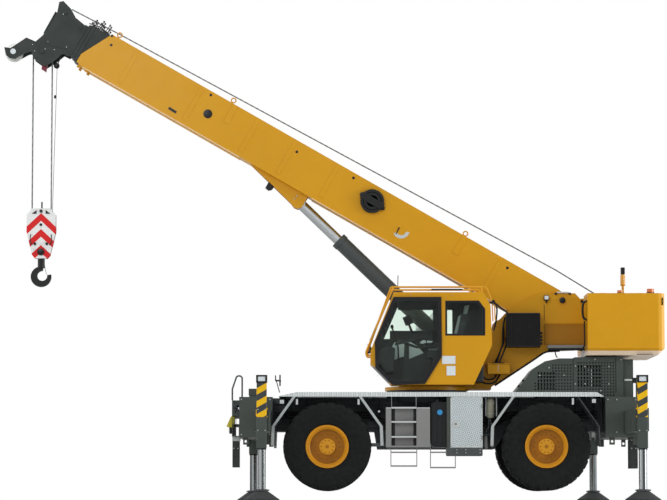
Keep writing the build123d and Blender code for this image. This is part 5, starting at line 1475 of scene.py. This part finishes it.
def add_cab_painted_daylight(body, inner):
    """The pale panels on the right wall's inside: painted daylight, where daylight falls on the wall."""
    light = [[(0.560, 2.400), (0.640, 2.560), (0.560, 2.700), (0.330, 2.735), (0.180, 2.640), (0.060, 2.520),
              (0.300, 2.420), (0.420, 2.455)],
             [(0.080, 2.740), (0.130, 2.690), (-0.040, 2.650), (-0.095, 2.720)]]
    # the panels' pale white is painted daylight
    piece("cab_light_panel", body, [("sign_white", [plate(plan, inner + 0.052, inner + 0.058, 0.001)
                                                    for plan in light])])


def add_window_seal(body, outer):
    """The rubber round the rear window of the left wall, mitred at its five corners."""
    outline = np.array([(-0.290, 3.356), (-0.845, 3.356), (-0.946, 3.220), (-0.946, 2.782), (-0.290, 2.782)])
    frame_in, frame_out = inset(outline, 0.034), inset(outline, -0.012)
    rims = [plate([frame_out[n - 1], frame_out[n], frame_in[n], frame_in[n - 1]], outer - 0.03, outer - 0.001,
                  0.0005) for n in (1, 2, 3, 4, 0)]
    piece("window_seal", body, [("black_plastic", rims)])


def add_cab_rear_rails(body, outer):
    """Grab rails behind the cab."""
    extra = [hose([(-0.880, outer - 0.075, 3.600), (-0.985, outer - 0.075, 3.600),
                   (-1.062, outer - 0.075, 3.370)], 0.013),
             hose([(-1.080, outer - 0.10, 3.300), (-1.092, outer - 0.10, 3.020)], 0.010),
             hose([(-1.120, outer - 0.10, 3.300), (-1.130, outer - 0.10, 3.040)], 0.010)]
    piece("cab_rear_rails", body, [("rail_enamel", extra)])


def add_seat_pads(body):
    """The seat's cushion, its back and its head rest."""
    head_rest = plate([(-0.665, 3.160), (-0.600, 3.150), (-0.625, 3.300), (-0.705, 3.310)], 0.74, 0.96, 0.02)
    pads = [plate([(-0.530, 2.535), (-0.020, 2.530), (-0.010, 2.575), (-0.440, 2.600)], 0.66, 1.04, 0.02),
            plate([(-0.455, 2.600), (-0.400, 2.610), (-0.520, 3.120), (-0.590, 3.140)], 0.66, 1.04, 0.02)]
    piece("seat_pads", body, [("seat_vinyl", pads + [head_rest])])


def add_cab_rear_corner(body, outer):
    """The pale pillar and stub at the rear corner, the wall's screws and the door's latch."""
    pillar = block(-0.990, -0.952, outer - 0.046, outer - 0.052, 2.74, 3.30, 0.001)
    fan = hose([(-1.030, outer - 0.10, 3.330), (-1.090, outer - 0.10, 3.350)], 0.016)
    piece("rear_pillar", body, [("sign_white", [pillar]), ("gloss_black", [fan])])
    screws = [(x, outer + 0.002, z) for x, z in ((0.86, 2.10), (0.90, 2.36), (-0.40, 3.46), (0.30, 3.46))]
    piece("cab_screws", body, [("zinc_bolt", [bolts(places(screws), 0.008)])])
    latch = [block(0.150, 0.235, outer + 0.035, outer + 0.062, 2.700, 2.730, 0.006)]
    piece("door_latch", "cab_door", [("gloss_black", latch)])


class CRANE_OT_cab(bpy.types.Operator):
    """Adds the cab's roof bars, wipers, handles, seals, antenna, blank plates and inner fittings"""
    bl_idname = "crane.cab"
    bl_label = "Cab fittings"

    def execute(self, context):
        body = "superstructure"
        outer = low_high("cab_left_wall")[1][1]
        inner = low_high("cab_right_wall")[0][1]
        add_cab_outside(body, outer)
        add_cab_wipers(body, inner, outer)
        add_cab_controls(body)
        add_cab_lining(body, inner)
        add_cab_mesh(body, inner + 0.06)
        add_cab_painted_daylight(body, inner)
        add_window_seal(body, outer)
        add_cab_rear_rails(body, outer)
        add_seat_pads(body)
        add_cab_rear_corner(body, outer)
        return {"FINISHED"}


# ------------------------------------------------------------------ boom

def block_uv(u0, u1, y0, y1, v0, v1, edge=0.002):
    """A bevelled box along the boom, before on_boom."""
    return box([u0, y0, v0], [u1, y1, v1], edge)


def add_boom_weldments():
    """Eyes, pads, gussets, bores, caps, slots, bolts, tabs and lips of the base section."""
    shapes, bores, caps, dark, steel = [], [], [], [], []
    for u, v in ((6.640, 0.210), (2.010, 0.200), (8.925, 0.215)):
        shapes.append(ring((u, 0.200, v - 0.010), 0.040, 0.011))
        shapes.append(block_uv(u - 0.02, u + 0.02, 0.19, 0.21, 0.140, v - 0.04))
    for side in (-1, 1):
        for u in (8.500, 7.210, 6.090, 5.340, 4.500, 1.250):
            shapes.append(block_uv(u - 0.038, u + 0.038, side * BOOM_SIDE, side * (BOOM_SIDE + 0.008), -0.52,
                                   0.09, 0.003))
        for u, v in ((6.560, 0.04), (1.990, 0.04)):
            gusset = [(u - 0.055, v - 0.25), (u + 0.055, v - 0.25), (u + 0.05, v + 0.10),
                      (u - 0.05, v + 0.10)]
            shapes.append(prism(gusset, side * BOOM_SIDE, side * (BOOM_SIDE + 0.010), 0.004))
        for u, v in ((7.025, 0.080), (8.960, -0.025), (4.165, 0.060), (5.240, -0.035), (9.030, 0.120),
                     (1.090, 0.030)):
            bores.append(turned([(side * BOOM_SIDE, 0.024), (side * (BOOM_SIDE + 0.004), 0.024)], (u, 0, v),
                                1, 18))
        caps.append(turned([(side * BOOM_SIDE, 0.078), (side * (BOOM_SIDE + 0.006), 0.078),
                            (side * (BOOM_SIDE + 0.008), 0.066)], (6.905, 0, -0.230), 1, 26))
        slot = [(7.545, -0.455), (7.390, -0.460), (7.390, -0.505), (7.545, -0.500)]
        dark.append(prism(slot, side * (BOOM_SIDE + 0.001), side * (BOOM_SIDE + 0.005), 0.001))
        steel.append(bolts([(4.864, side * 0.150, -0.690), (4.880, side * 0.150, -0.753)], 0.014, side=side))
    tabs = [block_uv(u, u + 0.05, y, y + 0.02, -0.650, -0.590) for u in (9.250, 9.090) for y in (-0.20, 0.18)]
    # the lips are painted pale peach as a painted highlight of the boom's lower edges
    lip = [block_uv(low, high, side * 0.190, side * (BOOM_SIDE + 0.008), -0.612, -0.600)
           for side in (-1, 1) for low, high in ((0.75, 4.62), (6.06, 9.20))]
    piece("boom_weldments", "boom", [("boom_enamel", on_boom(shapes + tabs)),
                                     ("edge_enamel", on_boom(lip)),
                                     ("gloss_black", on_boom(bores + caps + dark)),
                                     ("zinc_bolt", on_boom(steel))])


def add_reel_parts():
    """The cable reel's ears, bar and drum, and the angle gauge with its needle."""
    ears = [turned([(0.262, 0.040), (0.300, 0.040), (0.306, 0.030)], (u, 0, v), 1, 16)
            for u, v in ((3.895, -0.120), (3.470, -0.145))]
    bar = block_uv(3.470, 3.895, 0.330, 0.345, -0.195, -0.070, 0.006)
    drum = turned([(0.262, 0.168), (0.326, 0.168), (0.330, 0.160)], (3.683, 0, -0.133), 1, 40)
    turns = [turned([(0.328, r), (0.336, r)], (3.683, 0, -0.133), 1, 36) for r in (0.100, 0.150)]
    turn = np.radians(np.linspace(168, 306, 16))
    sweep = [np.stack([np.cos(way), np.sin(way)], -1) * r for r, way in ((0.088, turn), (0.146, turn[::-1]))]
    gauge = prism(np.concatenate(sweep) + [3.000, -0.314], 0.259, 0.264, 0.001)
    needle = prism([(3.042, -0.288), (3.064, -0.290), (3.050, -0.420), (3.038, -0.420)], 0.262, 0.270, 0.001)
    piece("reel_parts", "boom", [("gloss_black", on_boom(ears + [bar, drum, needle] + turns)),
                                 ("pale_paint", on_boom([gauge]))])


def add_bracket_lamp():
    """The lamp at the lift cylinder's bracket."""
    lamp = [prism([(5.285, -0.604), (5.300, -0.800), (5.345, -0.845), (5.415, -0.835), (5.420, -0.604)],
                  -0.060, 0.060, 0.006)]
    piece("bracket_lamp", "boom", [("gloss_black", on_boom(lamp))])


class CRANE_OT_boom(bpy.types.Operator):
    """Adds the welded seams, eyes, wear-pad caps, reel parts and the bracket lamp of the base section"""
    bl_idname = "crane.boom"
    bl_label = "Boom fittings"

    def execute(self, context):
        add_boom_weldments()
        add_reel_parts()
        add_bracket_lamp()
        return {"FINISHED"}


def add_head_trim(side):
    """Caps, bolts, guard tubes and plates, ribs and hubs of the boom head."""
    caps, bright, tubes, guides, hubs = [], [], [], [], []
    for sign in (-1, 1):
        for u, v, r in ((9.959, -0.712, 0.050), (9.942, 0.081, 0.040)):
            caps.append(turned([(sign * side, r), (sign * (side + 0.012), r),
                                (sign * (side + 0.014), r * 0.8)], (u, 0, v), 1, 24))
        hubs.append(turned([(sign * side, 0.048), (sign * (side + 0.010), 0.048)],
                           (NOSE_AXLE[0], 0, NOSE_AXLE[1]), 1, 24))
        for u, v in ((9.955, -0.515), (9.930, -0.650), (9.625, -0.435), (9.785, -0.580), (10.160, -0.690),
                     (10.070, -0.770), (9.965, 0.035)):
            bright.append(bolts([(u, sign * side, v)], 0.010, side=sign))
        for far, near in (((10.100, 0.005), (10.090, -0.420)), ((10.066, 0.010), (10.056, -0.425))):
            tubes.append(tube([(far[0], sign * 0.165, far[1]), (near[0], sign * 0.165, near[1])], 0.012))
        guard = [(10.030, 0.020), (10.098, 0.006), (10.086, -0.424), (10.020, -0.410)]
        guides.append(prism(guard, sign * 0.150, sign * 0.166, 0.001))
        rib = [(9.600, -0.470), (9.950, -0.560), (10.040, -0.500), (10.050, -0.450), (9.950, -0.520),
                        (9.610, -0.440)]
        spine = [(9.56, -0.05), (9.90, 0.06), (9.90, 0.10), (9.56, -0.01)]
        for plan in (rib, spine):
            guides.append(prism(plan, sign * side, sign * (side + 0.014),
                                0.001))
    piece("head_trim", "boom_tip", [
        ("head_enamel", on_boom(caps + tubes + guides)),
        ("zinc_bolt", on_boom(bright)), ("sign_white", on_boom(hubs))])


def add_rope_keepers(side):
    """Bars that keep the ropes in the sheaves."""
    cross = [tube([(u, -side, v), (u, side, v)], r) for u, v, r in (
        (10.120, 0.200, 0.014), (9.760, 0.060, 0.012), (10.165, -0.590, 0.016), (9.800, -0.880, 0.016),
        (10.455, -1.060, 0.014), (10.120, -0.440, 0.014))]
    piece("rope_keepers", "boom_tip", [("ground_steel", on_boom(cross))])


def add_rope_guide():
    """Posts, knobs, rollers and rails of the guide on the third section."""
    spots = ((9.475, 0.120, 0.165), (9.425, 0.100, 0.205), (9.380, 0.100, 0.235), (9.335, 0.090, 0.230),
             (9.290, 0.090, 0.280), (9.240, 0.090, 0.215), (9.190, 0.090, 0.275), (9.135, 0.090, 0.195))
    posts, knobs = [], []
    for number, (u, low, high) in enumerate(spots):
        for y in (-0.12, 0.12):
            lean = 0.025 * (number % 3 - 1)
            posts.append(tube([(u, y, low), (u + lean, y, high)], 0.007))
            knobs.append(turned([(y - 0.015, 0.017), (y + 0.015, 0.017)], (u + lean, 0, high), 1, 12))
    rollers = [tube([(u, -0.13, v), (u, 0.13, v)], 0.016) for u, v in ((9.175, 0.205), (9.400, 0.185))]
    rail = [tube([(9.10, y, 0.135), (9.30, y, 0.165), (9.50, y, 0.125)], 0.009) for y in (-0.12, 0.12)]
    piece("rope_guide", "boom_section_3", [("gloss_black", on_boom(posts + knobs + rollers + rail))])


def add_limit_switch():
    """The hoist limit switch and the bulb beside it."""
    switch = [prism([(9.850, -0.895), (9.775, -0.855), (9.720, -0.985), (9.820, -0.980)], 0.05, 0.12,
                    0.004)]
    bulb = [turned([(0.085, 0.020), (0.095, 0.048), (0.150, 0.052), (0.165, 0.030)], (9.615, 0.0, -0.800), 1,
                   16)]
    mount = [tube([(9.615, 0.12, -0.790), (9.640, 0.13, -0.560)], 0.010)]
    piece("limit_switch", "boom_tip", [("wine_red", on_boom(switch)),
                                       ("gloss_black", on_boom(mount + bulb))])


def add_switch_line():
    """The limit switch's line down to the falls, with its bead."""
    line = tube([boom_point(9.585, -0.840, 0.12), boom_point(8.395, -3.035, 0.12)], 0.004)
    bead = turned([(-0.030, 0.010), (-0.020, 0.022), (0.020, 0.022), (0.030, 0.010)],
                  boom_point(9.365, -1.280, 0.12), 2, 12)
    piece("switch_line", "hook_line", [("oil_hose", [line]), ("gloss_black", [bead])])


class CRANE_OT_head(bpy.types.Operator):
    """Adds the axle caps, bolts, guard tubes, rope guides, lamp and switch line of the boom head"""
    bl_idname = "crane.head"
    bl_label = "Boom head fittings"

    def execute(self, context):
        side = TIP_SIDE
        add_head_trim(side)
        add_rope_keepers(side)
        add_rope_guide()
        add_limit_switch()
        add_switch_line()
        return {"FINISHED"}


# ------------------------------------------------------------------ ropes and hook block
class CRANE_OT_ropes(bpy.types.Operator):
    """Winds the winches, lays the hoist rope over the boom's top to the head and hangs the falls"""
    bl_idname = "crane.ropes"
    bl_label = "Hoist rope"

    def execute(self, context):
        radius = context.scene.crane_sizes.rope
        half_drum, turns, crest, valley = 0.22, 46, 0.196, 0.182
        for name, x in (("main_winch", -3.140), ("aux_winch", -3.640)):
            y = np.linspace(-half_drum, half_drum, turns)
            coil = np.where(np.arange(turns) % 2 == 0, crest, valley)
            wound = turned(np.stack([y, coil], -1), at(x, 0, 3.235), 1, 40)
            piece(f"{name}_rope", name, [("wire_rope", [wound])])
        off_drum = at(-3.120, 0.06, 3.430)
        foot, bend = boom_point(-0.450, 0.455, 0.05), boom_point(0.355, 0.435, 0.04)
        lead = piece("hoist_rope_lead", None, [
            ("wire_rope", [carried(np.linspace(off_drum, bend, 12), circle(radius, 10))])])
        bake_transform(lead)
        low, high = boom_point(8.955, 0.232, 0.03), boom_point(9.900, 0.196, 0.03)
        piece("hoist_rope_boom", "boom", [("wire_rope", [tube([bend, low], radius)])])
        piece("hoist_rope_head", "boom_tip", [("wire_rope", [tube([low, high], radius)])])
        low, high = low_high("hoist_falls")
        fall = 0.009
        x, half_x, y = (low[0] + high[0]) / 2, (high[0] - low[0]) / 2 - fall, high[1] - fall
        falls = [carried(np.linspace((x + side * half_x, row * y, high[2]),
                                     (x + side * half_x, row * y, low[2]), 40), circle(fall, 10))
                 for side in (-1, 1) for row in (-1, 1)]
        falls = piece("hoist_falls_rope", None, [("wire_rope", falls)])
        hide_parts("hoist_falls")
        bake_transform(falls)
        return {"FINISHED"}


class CRANE_OT_hook_parts(bpy.types.Operator):
    """Adds the hook block's shackle, side guards, trunnion caps and the hook's latch"""
    bl_idname = "crane.hook_parts"
    bl_label = "Hook block fittings"

    def execute(self, context):
        x = HEAD_AXLE[0]
        dark = []
        for side in (-1, 1):
            for dx, z, r in ((0.0, 4.755, 0.024), (0.103, 4.425, 0.024), (-0.103, 4.425, 0.024),
                             (0.0, 4.992, 0.027), (0.0, 4.283, 0.060)):
                dark.append(turned([(side * BLOCK_SIDE, r), (side * (BLOCK_SIDE + 0.032), r),
                                    (side * (BLOCK_SIDE + 0.036), r * 0.8)], (x + dx, 0, z), 1, 20))
            for s in (-1, 1):
                dark.append(tube([(x + s * 0.178, side * 0.100, 4.590), (x + s * 0.186, side * 0.100, 4.500),
                                  (x + s * 0.170, side * 0.100, 4.410), (x + s * 0.146, side * 0.100, 4.405)],
                                 0.007))
        spacers = [tube([(x + dx, -BLOCK_SIDE, z), (x + dx, BLOCK_SIDE, z)], 0.018)
                   for dx, z in ((-0.222, 4.90), (0.222, 4.90), (-0.222, 4.66), (0.222, 4.66), (-0.12, 4.40),
                                 (0.12, 4.40))]
        piece("block_fittings", "hook_block", [("gloss_black", dark), ("ground_steel", spacers)])
        stem = tube([(x - 0.004, 0, 5.00), (x - 0.004, 0, 5.160)], 0.014)
        top = low_high("hook_block")[1][2]
        guards = [prism([(x + s * 0.078, top - 0.030), (x + s * 0.160, top - 0.096),
                         (x + s * 0.078, top - 0.096)], y, y * 1.06, 0.001)
                  for s in (-1, 1) for y in (-0.0945, 0.0945)]
        piece("block_top", "hook_block", [("gloss_black", [stem] + guards)])
        tongue = tube([(x - 0.058, 0, 4.080), (x - 0.072, 0, 3.985), (x - 0.094, 0, 3.900)], 0.006)
        nut = turned([(4.120, 0.052), (4.165, 0.052), (4.170, 0.046)], (x, 0, 0), 2, 6)
        piece("hook_latch", "hook", [("ground_steel", [tongue]), ("cast_iron", [nut])])
        return {"FINISHED"}


class CRANE_PT_panel(bpy.types.Panel):
    """Lists the crane's pieces, sizes and colours"""
    bl_idname = "CRANE_PT_panel"
    bl_label = "Crane"
    bl_space_type = "VIEW_3D"
    bl_region_type = "UI"
    bl_category = "Crane"

    def draw(self, context):
        for group in (context.scene.crane_sizes, context.scene.crane_colours):
            for key in group.__annotations__:
                self.layout.prop(group, key)
        for made in OPERATORS:
            self.layout.operator(made.bl_idname)


OPERATORS = (
    CRANE_OT_finishes, CRANE_OT_tyres, CRANE_OT_jacks, CRANE_OT_front, CRANE_OT_carrier, CRANE_OT_toolbox,
    CRANE_OT_hood, CRANE_OT_turret, CRANE_OT_counterweight, CRANE_OT_cab, CRANE_OT_boom, CRANE_OT_head,
    CRANE_OT_ropes, CRANE_OT_hook_parts, CRANE_OT_stage,
)
CLASSES = (CraneColours, CraneSizes, *OPERATORS, CRANE_PT_panel)


def register():
    for made in CLASSES:
        bpy.utils.register_class(made)
    bpy.types.Scene.crane_colours = PointerProperty(type=CraneColours)
    bpy.types.Scene.crane_sizes = PointerProperty(type=CraneSizes)


def unregister():
    del bpy.types.Scene.crane_sizes
    del bpy.types.Scene.crane_colours
    for made in reversed(CLASSES):
        bpy.utils.unregister_class(made)


def main():
    register()
    for made in OPERATORS:
        getattr(bpy.ops.crane, made.bl_idname.split(".")[1])()


if __name__ == "__main__":
    main()
